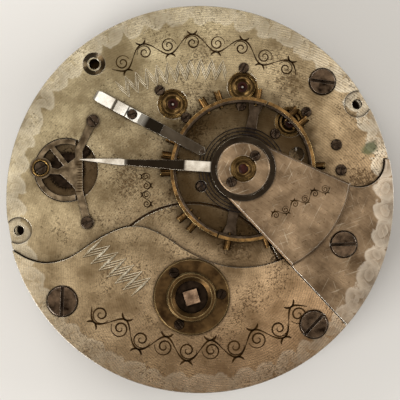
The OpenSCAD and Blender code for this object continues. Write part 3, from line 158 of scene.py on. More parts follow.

# %% [markdown]
# ## A base for all the metals
# Old metal is never one colour: handling and air leave it darker in patches, and its last polishing
# leaves fine grain. So every finish here has two colours in patches of a few millimetres, dirt and
# painted shade where surfaces meet, a grain in its bump, and edges that are softly rounded and made
# light by wear and a painted highlight. The edges could be bevelled in the mesh, but the solids stay as
# they are, so a Bevel node finds them: near an edge, its rounded normal leans away from the true one.
# Grain is drawn at a tenth of a millimetre or so, coarser than real polishing lines, so that it shows.
# First comes one small function that adds a node of any kind.

# %% Node maker
def add(tree, kind, inputs=None, **settings):
    """Adds a node, sets its properties, and fills its sockets with links or plain values."""
    made = tree.nodes.new(kind)
    for name, value in settings.items():
        setattr(made, name, value)
    for socket, value in (inputs or {}).items():
        if isinstance(value, bpy.types.NodeSocket):
            tree.links.new(value, made.inputs[socket])
        else:
            made.inputs[socket].default_value = value
    return made


# %% [markdown]
# The finish is a chain of nodes from the texture coordinates, turned to millimetres, to the shader.
# Four of them get names, for the later cells that put a pattern between the patches and the dirt and
# painted shade. In a Mix node for colours, the colours are sockets 6 and 7, and the result is output 2.
# The first metal made with it is plain brass.

# %% Finish maker
def finish(name, light, dark, patch, rough, grain, dirt_and_shade="#2a1c10", dirt_and_shade_reach=0.35, edge=0.06,
           rubbed_highlight=None, metallic=1.0):
    """A worn finish in two colours. patch, grain, dirt_and_shade_reach and edge are sizes in mm."""
    material = bpy.data.materials.new(name)
    material.use_nodes = True
    tree = material.node_tree
    place = add(tree, "ShaderNodeTexCoord").outputs["Object"]
    mm = add(tree, "ShaderNodeVectorMath", {0: place, "Scale": 1 / MM}, operation="SCALE",
             name="in_mm").outputs[0]
    patches = add(tree, "ShaderNodeTexNoise", {"Vector": mm, "Scale": 1 / patch, "Detail": 6.0,
                                               "Roughness": 0.62}).outputs["Fac"]
    spread = add(tree, "ShaderNodeMapRange", {0: patches, 1: 0.34, 2: 0.66}).outputs[0]
    tone = add(tree, "ShaderNodeMix", {0: spread, 6: linear(dark), 7: linear(light)},
               data_type="RGBA", name="tone").outputs[2]
    # dirt and painted shade: darker where an Ambient Occlusion node finds other surfaces close by
    corners = add(tree, "ShaderNodeAmbientOcclusion", {"Distance": dirt_and_shade_reach * MM}, samples=8)
    unoccluded = add(tree, "ShaderNodeMapRange", {0: corners.outputs["AO"], 1: 0.35, 2: 0.85}).outputs[0]
    soiled_and_shaded = add(tree, "ShaderNodeMix", {0: unoccluded, 6: linear(dirt_and_shade), 7: tone},
                 data_type="RGBA", name="soiled_and_shaded").outputs[2]
    rounded = add(tree, "ShaderNodeBevel", {"Radius": edge * MM}, samples=4).outputs[0]
    true_normal = add(tree, "ShaderNodeNewGeometry").outputs["Normal"]
    lean = add(tree, "ShaderNodeVectorMath", {0: rounded, 1: true_normal},
               operation="DOT_PRODUCT").outputs["Value"]
    # wear and painted highlight: near an edge the colour turns to the light edge colour
    near_edge = add(tree, "ShaderNodeMapRange", {0: lean, 1: 0.99, 2: 0.85, 4: unoccluded}).outputs[0]
    rubbed_and_highlit = add(tree, "ShaderNodeMix", {0: near_edge, 6: soiled_and_shaded, 7: linear(rubbed_highlight or light)},
                 data_type="RGBA").outputs[2]
    worn = add(tree, "ShaderNodeMapRange", {0: patches, 1: 0.3, 2: 0.7, 3: rough + 0.1,
                                            4: rough - 0.08}).outputs[0]
    fine = add(tree, "ShaderNodeTexNoise", {"Vector": mm, "Scale": 1 / grain, "Detail": 3.0}).outputs["Fac"]
    bump = add(tree, "ShaderNodeBump", {"Height": fine, "Strength": 0.25, "Distance": 0.02 * MM,
                                        "Normal": rounded}, name="grain").outputs[0]
    shader = tree.nodes["Principled BSDF"]
    for socket, value in (("Base Color", rubbed_and_highlit), ("Roughness", worn), ("Normal", bump)):
        tree.links.new(value, shader.inputs[socket])
    shader.inputs["Metallic"].default_value = metallic
    return material


# brass from the lathe: warm yellow, half dulled, and brown with dirt and painted shade in the corners
brass = finish("turned_brass", "#b8924a", "#7f5f2b", 2.0, 0.34, 0.10, dirt_and_shade="#1c1208", dirt_and_shade_reach=1.2)
print(brass.name, "has", len(brass.node_tree.nodes), "nodes")

# %% [markdown]
# ## Turned brass
# Wheels, barrel and pillars are brass from the lathe and the cutting engine, kept from air between the
# plates, so the base is enough for them as it is. A material could go on each solid by hand. A function
# that takes their names says in one line which pieces share a finish.

# %% Turned brass
def dress(material, *names):
    for name in names:
        solid = nodes[name]
        solid.data.materials.clear()
        solid.data.materials.append(material)
    print(material.name, "on", len(names), "solids")


dress(brass, "pillars", "potance", "barrel", "barrel_cover", "centre_wheel", "third_wheel", "fourth_wheel",
      "minute_wheel", "hour_wheel", "curb_pins", "banking_pins", "hairspring_collet")

# %% [markdown]
# ## Scalloped border
# The plates were damaskeened: a turning tool left cloudy scallops all along their edge, and a smaller
# one a row of finer spots over them. One function adds both to a finish, as the plates and the foot of
# the cock share one border. It works from the distance and the angle about the plate's centre and
# returns how far a point belongs to a scallop. Folding the angle back and forth with a Ping-Pong makes
# every scallop the same as the first, and a noise then makes each a little different. A row of discs
# in the mesh would be simpler, but it would show as steps, where the real border is only polish.

# %% Border maker
BORDER_ROWS = (
    # how many, radius of the row, radius of a spot, how bright its middle and its rim are, sizes in mm
    (50, 20.9, 1.50, 0.04, 0.32),
    (104, 20.7, 0.58, 0.16, 0.27),
)
CLOUD_SIZE = 1.6


def scalloped(tree):
    mm = tree.nodes["in_mm"].outputs[0]
    axes = add(tree, "ShaderNodeSeparateXYZ", {0: mm}, name="axes").outputs
    flat = add(tree, "ShaderNodeCombineXYZ", {"X": axes["X"], "Y": axes["Y"]}, name="flat").outputs[0]
    radius = add(tree, "ShaderNodeVectorMath", {0: flat}, operation="LENGTH", name="radius").outputs["Value"]
    angle = add(tree, "ShaderNodeMath", {0: axes["Y"], 1: axes["X"]}, operation="ARCTAN2").outputs[0]
    cloud = add(tree, "ShaderNodeTexNoise", {"Vector": mm, "Scale": 1 / CLOUD_SIZE, "Detail": 5.0},
                name="cloud").outputs["Fac"]
    bent = add(tree, "ShaderNodeMath", {0: cloud, 1: 0.12, 2: angle}, operation="MULTIPLY_ADD").outputs[0]
    border = 0.0
    for count, row_r, size, middle_share, rim_share in BORDER_ROWS:
        arc = add(tree, "ShaderNodeMath", {0: bent, 1: count / (2 * math.pi)},
                  operation="MULTIPLY").outputs[0]
        fold = add(tree, "ShaderNodeMath", {0: arc, 1: 0.5}, operation="PINGPONG").outputs[0]
        across = add(tree, "ShaderNodeMath", {0: fold, 1: 2 * math.pi * row_r / count},
                     operation="MULTIPLY").outputs[0]
        inward = add(tree, "ShaderNodeMath", {0: radius, 1: row_r}, operation="SUBTRACT").outputs[0]
        from_spot = add(tree, "ShaderNodeCombineXYZ", {"X": across, "Y": inward}).outputs[0]
        spot_r = add(tree, "ShaderNodeVectorMath", {0: from_spot}, operation="LENGTH").outputs["Value"]
        ragged = add(tree, "ShaderNodeMath", {0: cloud, 1: size, 2: spot_r},
                     operation="MULTIPLY_ADD").outputs[0]
        # brighter towards the spot's own rim, which is at about 1.5 times its size with the noise added
        inside = add(tree, "ShaderNodeMapRange", {0: ragged, 1: 1.54 * size, 2: 1.42 * size}).outputs[0]
        glow = add(tree, "ShaderNodeMapRange", {0: ragged, 1: 0.6 * size, 2: 1.4 * size, 3: middle_share,
                                                4: rim_share}).outputs[0]
        spot = add(tree, "ShaderNodeMath", {0: inside, 1: glow}, operation="MULTIPLY").outputs[0]
        border = add(tree, "ShaderNodeMath", {0: spot, 1: border}, operation="MAXIMUM").outputs[0]
    # dimmer low on the plate, brightest on the right, and only faces that look up were worked
    rightmost = add(tree, "ShaderNodeMapRange", {0: axes["X"], 1: 12.0, 2: 17.0, 3: 1.0, 4: 1.5}).outputs[0]
    faded = add(tree, "ShaderNodeMapRange", {0: axes["Y"], 1: -20.0, 2: -5.0, 3: 0.4,
                                             4: rightmost}).outputs[0]
    border = add(tree, "ShaderNodeMath", {0: border, 1: faded}, operation="MULTIPLY").outputs[0]
    normal = add(tree, "ShaderNodeNewGeometry").outputs["Normal"]
    facing = add(tree, "ShaderNodeSeparateXYZ", {0: normal}, name="facing").outputs["Z"]
    upright = add(tree, "ShaderNodeMapRange", {0: facing, 1: 0.3, 2: 0.7}, name="upright").outputs[0]
    return add(tree, "ShaderNodeMath", {0: border, 1: upright}, operation="MULTIPLY").outputs[0]


for count, row_r, *_ in BORDER_ROWS:
    print(count, "scallops, one every %.2f mm" % (2 * math.pi * row_r / count))

# %% [markdown]
# ## Nickelled plates
# The plates are brass with a nickel skin, mottled with age. Towards the upper left it has gone olive,
# towards the lower right reddish. It could be painted by hand on an unwrapped mesh. Built from nodes it
# fits all three plates at once, and each cell below lays one more layer on the skin.

# %% Aged nickel
# old nickel plating on brass: a warm grey, half mirror and half haze, with wear and a painted highlight almost
# white at its edges
nickel = finish("aged_damaskeened_nickel", "#ab9e82", "#7a6c53", 4.5, 0.24, 0.12, dirt_and_shade="#24170a",
                dirt_and_shade_reach=0.5, edge=0.10, rubbed_highlight="#f3ecdc")
tree = nickel.node_tree
scallop = scalloped(tree)
mm = tree.nodes["in_mm"].outputs[0]
axes = tree.nodes["axes"].outputs
flat = tree.nodes["flat"].outputs[0]
radius = tree.nodes["radius"].outputs["Value"]
cloud = tree.nodes["cloud"].outputs["Fac"]
facing = tree.nodes["facing"].outputs["Z"]
upright = tree.nodes["upright"].outputs[0]

UPPER_LEFT = (-0.6, 0.8, 0.0)
towards = add(tree, "ShaderNodeVectorMath", {0: flat, 1: UPPER_LEFT},
              operation="DOT_PRODUCT").outputs["Value"]
olive = add(tree, "ShaderNodeMapRange", {0: towards, 1: -18.0, 2: 16.0}).outputs[0]
tint = add(tree, "ShaderNodeMix", {0: olive, 6: linear("#ecd0bf"), 7: linear("#f7f4ea")},
           data_type="RGBA").outputs[2]
skin = add(tree, "ShaderNodeVectorMath", {0: tree.nodes["tone"].outputs[2], 1: tint},
           operation="MULTIPLY").outputs[0]
print("nickel skin,", len(tree.nodes), "nodes so far")

# %% [markdown]
# A painted sheen makes the edge lighter than the middle and two places lighter than the rest, and a
# painted shade darkens the plates towards the bottom. Each is a factor on the colour, so that what lies
# below shows through, where a Mix would paint over it. The border then goes on top.

# %% Painted sheen, painted shade and border
MOTTLE_SIZE = 0.3
PAINTED_SHEEN_PLACES = (
    # place and reach in mm, and how much lighter the painted sheen makes it
    ((-1.0, 19.0, 0.0), 9.0, 1.22),
    ((9.0, -11.5, 0.0), 6.5, 1.30),
)
speckle = add(tree, "ShaderNodeTexNoise", {"Vector": mm, "Scale": 1 / MOTTLE_SIZE, "Detail": 4.0,
                                           "Roughness": 0.7}).outputs["Fac"]
mottle = add(tree, "ShaderNodeMapRange", {0: speckle, 1: 0.3, 2: 0.7, 3: 0.84, 4: 1.14}).outputs[0]
ragged_r = add(tree, "ShaderNodeMath", {0: cloud, 1: 6.0, 2: radius}, operation="MULTIPLY_ADD").outputs[0]
# painted sheen: lighter towards the edge than in the middle
painted_radial_sheen = add(tree, "ShaderNodeMapRange", {0: ragged_r, 1: 12.0, 2: 20.0, 3: 0.78, 4: 1.08}).outputs[0]
# painted shade: darker towards the bottom
painted_bottom_shade = add(tree, "ShaderNodeMapRange", {0: axes["Y"], 1: -19.0, 2: -10.0, 3: 0.72, 4: 1.0}).outputs[0]
factors = [mottle, painted_radial_sheen, painted_bottom_shade]
# painted sheen: lighter in two places
for place, reach, gain in PAINTED_SHEEN_PLACES:
    away = add(tree, "ShaderNodeVectorMath", {0: flat, 1: place}, operation="DISTANCE").outputs["Value"]
    painted_sheen = add(tree, "ShaderNodeMapRange", {0: away, 1: reach, 2: 0.2 * reach, 3: 1.0, 4: gain})
    factors.append(painted_sheen.outputs[0])
for factor in factors:
    skin = add(tree, "ShaderNodeVectorMath", {0: skin, "Scale": factor}, operation="SCALE").outputs[0]
skin = add(tree, "ShaderNodeMix", {0: scallop, 6: skin, 7: linear("#ddd3bd")}, data_type="RGBA").outputs[2]
print(len(factors), "factors on the skin")

# %% [markdown]
# Between the border and the middle the tool left ripples round one point, 0.2 mm apart and here drawn
# at 0.26 mm so that they show, strongest on the right. A Wave texture has rings too, but the sine of a
# distance takes its pitch straight in millimetres.

# %% Tool ripples
RIPPLE_PITCH = 0.26
RIPPLE_CENTRE = (3.0, -8.0, 0.0)
ripple_r = add(tree, "ShaderNodeVectorMath", {0: flat, 1: RIPPLE_CENTRE},
               operation="DISTANCE").outputs["Value"]
ripple_turn = add(tree, "ShaderNodeMath", {0: ripple_r, 1: 2 * math.pi / RIPPLE_PITCH},
                  operation="MULTIPLY").outputs[0]
ripple = add(tree, "ShaderNodeMath", {0: ripple_turn}, operation="SINE").outputs[0]
ripple = add(tree, "ShaderNodeMath", {0: ripple, 1: upright}, operation="MULTIPLY").outputs[0]
ripple_share = add(tree, "ShaderNodeMapRange", {0: axes["X"], 1: 6.0, 2: 13.0, 3: 0.06, 4: 0.15}).outputs[0]
ripple_tone = add(tree, "ShaderNodeMath", {0: ripple, 1: ripple_share, 2: 1.0},
                  operation="MULTIPLY_ADD").outputs[0]
skin = add(tree, "ShaderNodeVectorMath", {0: skin, "Scale": ripple_tone}, operation="SCALE").outputs[0]
print("ripples every %.2f mm" % RIPPLE_PITCH)

# %% [markdown]
# Later came damage: brown pits where damp stood, round the balance and the regulator, and finer specks
# of rust about the middle. Both are a noise cut off at a level. Where damp stood the level is lower, so
# more of the noise comes through, and pits crowd there without being placed one by one.

# %% Pits and specks
DAMP_PLACES = ((-8.0, 2.0, 0.0), (15.0, 0.5, 0.0), (4.0, -5.0, 0.0), (10.0, 13.0, 0.0), (-1.0, 8.0, 0.0),
               (18.3, 2.0, 0.0))
DAMP_SIZE, DAMP_REACH = 5.0, 6.0
PIT_SIZE = 0.24
SPECK_SIZE = 0.16
SPECK_CENTRE = (-5.0, 3.0, 0.0)
damp = add(tree, "ShaderNodeTexNoise", {"Vector": mm, "Scale": 1 / DAMP_SIZE, "Detail": 2.0}).outputs["Fac"]
for place in DAMP_PLACES:
    away = add(tree, "ShaderNodeVectorMath", {0: flat, 1: place}, operation="DISTANCE").outputs["Value"]
    near = add(tree, "ShaderNodeMapRange", {0: away, 1: DAMP_REACH, 2: 0.5, 3: 0.0, 4: 0.8}).outputs[0]
    damp = add(tree, "ShaderNodeMath", {0: damp, 1: near}, operation="MAXIMUM").outputs[0]
pits = add(tree, "ShaderNodeTexNoise", {"Vector": mm, "Scale": 1 / PIT_SIZE, "Detail": 3.0,
                                        "Roughness": 0.75}).outputs["Fac"]
pit_level = add(tree, "ShaderNodeMapRange", {0: damp, 1: 0.35, 2: 0.8, 3: 0.68, 4: 0.47}).outputs[0]
pit_depth = add(tree, "ShaderNodeMath", {0: pits, 1: pit_level}, operation="SUBTRACT").outputs[0]
pit = add(tree, "ShaderNodeMapRange", {0: pit_depth, 1: 0.0, 2: 0.07, 3: 0.0, 4: 0.65}).outputs[0]
skin = add(tree, "ShaderNodeMix", {0: pit, 6: skin, 7: linear("#453018")}, data_type="RGBA").outputs[2]

specks = add(tree, "ShaderNodeTexNoise", {"Vector": mm, "Scale": 1 / SPECK_SIZE, "Detail": 2.0,
                                          "Roughness": 0.6}).outputs["Fac"]
speck = add(tree, "ShaderNodeMapRange", {0: specks, 1: 0.50, 2: 0.60}).outputs[0]
speck_r = add(tree, "ShaderNodeVectorMath", {0: flat, 1: SPECK_CENTRE},
              operation="DISTANCE").outputs["Value"]
speck_r = add(tree, "ShaderNodeMath", {0: cloud, 1: 9.0, 2: speck_r}, operation="MULTIPLY_ADD").outputs[0]
speck_share = add(tree, "ShaderNodeMapRange", {0: speck_r, 1: 19.0, 2: 10.0, 3: 0.06, 4: 0.42}).outputs[0]
speck = add(tree, "ShaderNodeMath", {0: speck, 1: speck_share}, operation="MULTIPLY").outputs[0]
skin = add(tree, "ShaderNodeMix", {0: speck, 6: skin, 7: linear("#4f381d")}, data_type="RGBA").outputs[2]
print(len(DAMP_PLACES), "damp places")

# %% [markdown]
# Near the right edge the brass came through and turned green: one spot of verdigris with a ragged
# outline. A decal would need a picture. This is a disc whose radius a noise moves in and out, only on
# the face that looks up.

# %% Verdigris
VERDIGRIS_PLACE = (19.06, 5.7, 0.0)
green_r = add(tree, "ShaderNodeVectorMath", {0: flat, 1: VERDIGRIS_PLACE},
              operation="DISTANCE").outputs["Value"]
green_edge = add(tree, "ShaderNodeMath", {0: cloud, 1: 1.4, 2: green_r}, operation="MULTIPLY_ADD").outputs[0]
green = add(tree, "ShaderNodeMapRange", {0: green_edge, 1: 1.7, 2: 1.2, 3: 0.0, 4: 0.85}).outputs[0]
green = add(tree, "ShaderNodeMath", {0: green, 1: upright}, operation="MULTIPLY").outputs[0]
skin = add(tree, "ShaderNodeMix", {0: green, 6: skin, 7: linear("#484e35")}, data_type="RGBA").outputs[2]
print("verdigris at", VERDIGRIS_PLACE[:2])

# %% [markdown]
# The floors of the recesses, the cones of the countersinks and the holes for the case screws carry a
# painted shade, brown to black. Height tells a floor from the plate's top, the slope of the face tells a
# cone, and the record of the mounts says where the screw holes are. The inner plate lies low as well,
# and its painted shade is lighter.

# %% Painted shade in floors, cones and screw holes
RIM_R = 21.35  # outside it the rims stay light
BETWEEN_PLATES, IN_TOP_PLATE = 2.0, 5.0  # heights in mm
top_mm = TOP / MM
# painted shade on the floors, lighter on the inner plate
floor_share = add(tree, "ShaderNodeMapRange", {0: axes["Z"], 1: BETWEEN_PLATES, 2: IN_TOP_PLATE, 3: 0.30,
                                               4: 0.75}).outputs[0]
sunken = add(tree, "ShaderNodeMapRange", {0: axes["Z"], 1: top_mm - 0.45, 2: top_mm - 0.75, 3: 0.0,
                                          4: floor_share}).outputs[0]
# painted shade in the cones of the countersinks
sloping = add(tree, "ShaderNodeMapRange", {0: facing, 1: 0.96, 2: 0.9, 3: 0.0, 4: 0.85}).outputs[0]
within = add(tree, "ShaderNodeMapRange", {0: radius, 1: RIM_R + 0.15, 2: RIM_R - 0.15}).outputs[0]
for share, colour in ((sunken, "#4a3520"), (sloping, "#2b1d0f")):
    share = add(tree, "ShaderNodeMath", {0: share, 1: within}, operation="MULTIPLY").outputs[0]
    share = add(tree, "ShaderNodeMath", {0: share, 1: upright}, operation="MULTIPLY").outputs[0]
    skin = add(tree, "ShaderNodeMix", {0: share, 6: skin, 7: linear(colour)}, data_type="RGBA").outputs[2]

above_dial = add(tree, "ShaderNodeMapRange", {0: axes["Z"], 1: 0.8, 2: 1.2}).outputs[0]
case_screws = [mount for mount in frame["record"]["mounts"] if mount["name"].startswith("case_screw")]
# painted shade: near black down the case-screw holes
for mount in case_screws:
    x, y, mouth = (value / MM for value in mount["pos_m"])
    deep = add(tree, "ShaderNodeMapRange", {0: axes["Z"], 1: mouth - 0.3, 2: mouth - 0.7,
                                            4: above_dial}).outputs[0]
    away = add(tree, "ShaderNodeVectorMath", {0: flat, 1: (x, y, 0.0)}, operation="DISTANCE").outputs["Value"]
    shaft = add(tree, "ShaderNodeMapRange", {0: away, 1: 1.1, 2: 0.8, 3: 0.0, 4: deep}).outputs[0]
    skin = add(tree, "ShaderNodeMix", {0: shaft, 6: skin, 7: linear("#0c0704")}, data_type="RGBA").outputs[2]
print(len(case_screws), "case-screw holes")

# %% [markdown]
# Round the balance the plate darkens with dust and painted shade, less under the hairspring, and a
# painted shade darkens it wherever other parts stand close. The darkening round the balance follows the
# distance from the balance's axis, which is the middle of its staff, and an Ambient Occlusion node of
# long reach finds the close parts.

# %% Dust and painted shade
def axis_of(name):
    """Where the upright axis of a turned solid is, in mm."""
    low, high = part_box(name)
    centre = (low + high) / 2
    return centre.x / MM, centre.y / MM, 0.0


balance_axis = axis_of("balance_staff")
# dust and painted shade round the balance's axis, less under the hairspring
swept = add(tree, "ShaderNodeVectorMath", {0: flat, 1: balance_axis}, operation="DISTANCE").outputs["Value"]
ragged_swept = add(tree, "ShaderNodeMath", {0: cloud, 1: 4.0, 2: swept}, operation="MULTIPLY_ADD").outputs[0]
dust_and_shade = add(tree, "ShaderNodeMapRange", {0: ragged_swept, 1: 12.0, 2: 9.5, 3: 0.0, 4: 0.86}).outputs[0]
under_spring = add(tree, "ShaderNodeMapRange", {0: swept, 1: 4.6, 2: 6.2, 3: 0.62, 4: 1.0}).outputs[0]
on_top = add(tree, "ShaderNodeMapRange", {0: axes["Z"], 1: BETWEEN_PLATES, 2: IN_TOP_PLATE, 3: 0.3,
                                          4: 1.0}).outputs[0]
for share in (under_spring, upright, on_top):
    dust_and_shade = add(tree, "ShaderNodeMath", {0: dust_and_shade, 1: share}, operation="MULTIPLY").outputs[0]
skin = add(tree, "ShaderNodeMix", {0: dust_and_shade, 6: skin, 7: linear("#33230f")}, data_type="RGBA").outputs[2]
# painted shade: darker where an Ambient Occlusion node finds parts within 2.5 mm
covered = add(tree, "ShaderNodeAmbientOcclusion", {"Distance": 2.5 * MM}, samples=8).outputs["AO"]
painted_long_shade = add(tree, "ShaderNodeMapRange", {0: covered, 1: 0.25, 2: 0.95, 3: 0.30, 4: 1.0}).outputs[0]
skin = add(tree, "ShaderNodeVectorMath", {0: skin, "Scale": painted_long_shade}, operation="SCALE").outputs[0]
tree.links.new(skin, tree.nodes["soiled_and_shaded"].inputs[7])
print("dust round the axis at %.2f, %.2f mm" % balance_axis[:2])

# %% [markdown]
# Colour alone looks printed. The same mottle, ripples and pits also go into the bump, a few hundredths
# of a millimetre high, so that they catch the light. Cut into the mesh they would need millions of
# faces.

# %% Relief of the plates
RELIEF = (
    # what stands out, how strongly, how high in mm, and whether it is a hollow instead
    (speckle, 0.35, 0.03, False),
    (ripple_tone, 0.15, 0.055, False),
    (pit, 0.50, 0.03, True),
)
normal = tree.nodes["grain"].outputs[0]
for height, strength, distance, hollow in RELIEF:
    normal = add(tree, "ShaderNodeBump", {"Height": height, "Strength": strength, "Distance": distance * MM,
                                          "Normal": normal}, invert=hollow).outputs[0]
tree.links.new(normal, tree.nodes["Principled BSDF"].inputs["Normal"])
dress(nickel, "top_plate", "barrel_bridge", "pillar_plate")

# %% [markdown]
# ## Brushed cock
# The balance cock has the same nickel skin, but its top was drawn over an abrasive, which leaves
# straight streaks, and later handling crossed them with stray scratches. A noise squeezed across the
# lines and stretched along them gives both: a Mapping node of the type Texture takes their length and
# width in millimetres. Streaks and scratches are drawn about five times as wide as real ones, so that
# they show.

# %% Brushed nickel
STREAK, STREAK_SLANT = (5.0, 0.12, 1.0), -36
SCRATCH, SCRATCH_SLANTS = (3.0, 0.14, 1.0), (62, 20, -70)
SPOT_SIZE = 0.22
# nickel drawn over an abrasive: a duller, browner mirror that is smeared along the streaks
brushed = finish("brushed_nickel", "#8a7359", "#5a4733", 3.0, 0.32, 0.10, dirt_and_shade="#24170a", dirt_and_shade_reach=0.4,
                 edge=0.10, rubbed_highlight="#efe5d6")
tree = brushed.node_tree
mm = tree.nodes["in_mm"].outputs[0]
along = add(tree, "ShaderNodeMapping", {"Vector": mm, "Rotation": (0.0, 0.0, math.radians(STREAK_SLANT)),
                                        "Scale": STREAK}, vector_type="TEXTURE").outputs[0]
streaks = add(tree, "ShaderNodeTexNoise", {"Vector": along, "Scale": 1.0, "Detail": 4.0}).outputs["Fac"]
streak_tone = add(tree, "ShaderNodeMapRange", {0: streaks, 1: 0.3, 2: 0.7, 3: 0.86, 4: 1.12}).outputs[0]
skin = add(tree, "ShaderNodeVectorMath", {0: tree.nodes["tone"].outputs[2], "Scale": streak_tone},
           operation="SCALE").outputs[0]
for slant in SCRATCH_SLANTS:
    turned = add(tree, "ShaderNodeMapping", {"Vector": mm, "Rotation": (0.0, 0.0, math.radians(slant)),
                                             "Scale": SCRATCH}, vector_type="TEXTURE").outputs[0]
    lines = add(tree, "ShaderNodeTexNoise", {"Vector": turned, "Scale": 1.0, "Detail": 2.0}).outputs["Fac"]
    scratch = add(tree, "ShaderNodeMapRange", {0: lines, 1: 0.66, 2: 0.76, 3: 0.0, 4: 0.40}).outputs[0]
    skin = add(tree, "ShaderNodeMix", {0: scratch, 6: skin, 7: linear("#cfc0a6")},
               data_type="RGBA").outputs[2]
spots = add(tree, "ShaderNodeTexNoise", {"Vector": mm, "Scale": 1 / SPOT_SIZE, "Detail": 2.0,
                                         "Roughness": 0.7}).outputs["Fac"]
spot = add(tree, "ShaderNodeMapRange", {0: spots, 1: 0.63, 2: 0.70, 3: 0.0, 4: 0.7}).outputs[0]
for share, colour in ((spot, "#402c15"), (scalloped(tree), "#ddd0bc")):
    skin = add(tree, "ShaderNodeMix", {0: share, 6: skin, 7: linear(colour)}, data_type="RGBA").outputs[2]
tree.links.new(skin, tree.nodes["soiled_and_shaded"].inputs[7])
dress(brushed, "balance_cock", "balance_cap")

# %% [markdown]
# ## Polished index
# The index is hardened and polished steel. Its slope and the ring round the cap carry a painted shade.
# They could be cut off as separate pieces, but it is one piece of steel, so its colour changes with the
# distance from the balance's axis.

# %% Polished index
RING_R = 3.65
SLOPE_FROM, SLOPE_TO = 6.4, 13.0
# painted shade on the slope and the ring, as factors on the colour
SLOPE_DIM, RING_DIM = (0.13, 0.105, 0.08), (0.035, 0.027, 0.02)  # factors on red, green and blue
# hardened and polished steel: a clear mirror, almost white where it shows the strip light
index_steel = finish("polished_index_steel", "#c6beb0", "#968b7b", 2.0, 0.16, 0.15, dirt_and_shade="#2a2118",
                     dirt_and_shade_reach=0.2, rubbed_highlight="#b5ab9b")
tree = index_steel.node_tree
tone = tree.nodes["tone"].outputs[2]
axes = add(tree, "ShaderNodeSeparateXYZ", {0: tree.nodes["in_mm"].outputs[0]}).outputs
flat = add(tree, "ShaderNodeCombineXYZ", {"X": axes["X"], "Y": axes["Y"]}).outputs[0]
reach = add(tree, "ShaderNodeVectorMath", {0: flat, 1: balance_axis}, operation="DISTANCE").outputs["Value"]
past_start = add(tree, "ShaderNodeMapRange", {0: reach, 1: SLOPE_FROM - 0.2, 2: SLOPE_FROM + 0.2}).outputs[0]
on_slope = add(tree, "ShaderNodeMapRange", {0: reach, 1: SLOPE_TO + 0.2, 2: SLOPE_TO - 0.2,
                                            4: past_start}).outputs[0]
on_ring = add(tree, "ShaderNodeMapRange", {0: reach, 1: RING_R + 0.1, 2: RING_R - 0.1}).outputs[0]
skin = tone
# the slope and the ring get their painted shade
for share, dimming in ((on_slope, SLOPE_DIM), (on_ring, RING_DIM)):
    dimmed = add(tree, "ShaderNodeVectorMath", {0: tone, 1: dimming}, operation="MULTIPLY").outputs[0]
    skin = add(tree, "ShaderNodeMix", {0: share, 6: skin, 7: dimmed}, data_type="RGBA").outputs[2]
tree.links.new(skin, tree.nodes["soiled_and_shaded"].inputs[7])
dress(index_steel, "regulator_index")

# %% [markdown]
# ## Polished arm
# The arm that holds the hairspring's stud is the same steel, with a painted shade past its screw. It
# lies slantwise from the upper left to the lower right of its box, so here the place along that
# diagonal counts, and not a distance.

# %% Polished arm
DARK_FROM, DARK_TO = 6.4, 7.0
ARM_DIM = (0.06, 0.048, 0.036)
# the same polish, less handled: a little lighter
arm_steel = finish("polished_arm_steel", "#e8e3d8", "#bdb4a6", 2.5, 0.16, 0.15, dirt_and_shade="#2a2118",
                   dirt_and_shade_reach=0.2)
tree = arm_steel.node_tree
tone = tree.nodes["tone"].outputs[2]
arm_low, arm_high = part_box("stud_arm")
arm_dir = Vector((arm_high.x - arm_low.x, arm_low.y - arm_high.y, 0.0)).normalized()
tail = arm_dir.dot((arm_low.x / MM, arm_high.y / MM, 0.0))
along = add(tree, "ShaderNodeVectorMath", {0: tree.nodes["in_mm"].outputs[0], 1: arm_dir},
            operation="DOT_PRODUCT").outputs["Value"]
# painted shade on the arm past its screw
past_screw = add(tree, "ShaderNodeMapRange", {0: along, 1: tail + DARK_FROM, 2: tail + DARK_TO}).outputs[0]
dimmed = add(tree, "ShaderNodeVectorMath", {0: tone, 1: ARM_DIM}, operation="MULTIPLY").outputs[0]
skin = add(tree, "ShaderNodeMix", {0: past_screw, 6: tone, 7: dimmed}, data_type="RGBA").outputs[2]
tree.links.new(skin, tree.nodes["soiled_and_shaded"].inputs[7])
dress(arm_steel, "stud_arm")

# %% [markdown]
# ## Winding square
# The key wore the end of the winding square bright, and below it the steel is brown. The end face could
# get a material slot of its own, but the mesh stays as it is, so the height decides.

# %% Winding square
# filed and worn steel: brown, with a soft shine on the end only
square_steel = finish("worn_winding_square", "#94785f", "#5c4736", 0.8, 0.26, 0.10, dirt_and_shade="#140c06",
                      dirt_and_shade_reach=0.5)
tree = square_steel.node_tree
axes = add(tree, "ShaderNodeSeparateXYZ", {0: tree.nodes["in_mm"].outputs[0]}).outputs
square_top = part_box("barrel_arbor")[1].z / MM
below = add(tree, "ShaderNodeMapRange", {0: axes["Z"], 1: square_top - 0.05, 2: square_top - 0.3}).outputs[0]
skin = add(tree, "ShaderNodeMix", {0: below, 6: tree.nodes["tone"].outputs[2], 7: linear("#241910")},
           data_type="RGBA").outputs[2]
tree.links.new(skin, tree.nodes["soiled_and_shaded"].inputs[7])
dress(square_steel, "barrel_arbor")

# %% [markdown]
# ## Gilt settings
# Each jewel sits in a gilt brass setting that was turned on a lathe, so its face has fine steps round
# the arbor's axis. Four materials could each have an axis. With one, every point takes the nearest of
# the four axes, and the rings follow the distance from it. The steps are drawn 0.42 mm apart, coarser
# than the real 0.2 mm, so that they show.

# %% Turned gilt
STEP_PITCH = 0.42
FARTHEST = 9.0
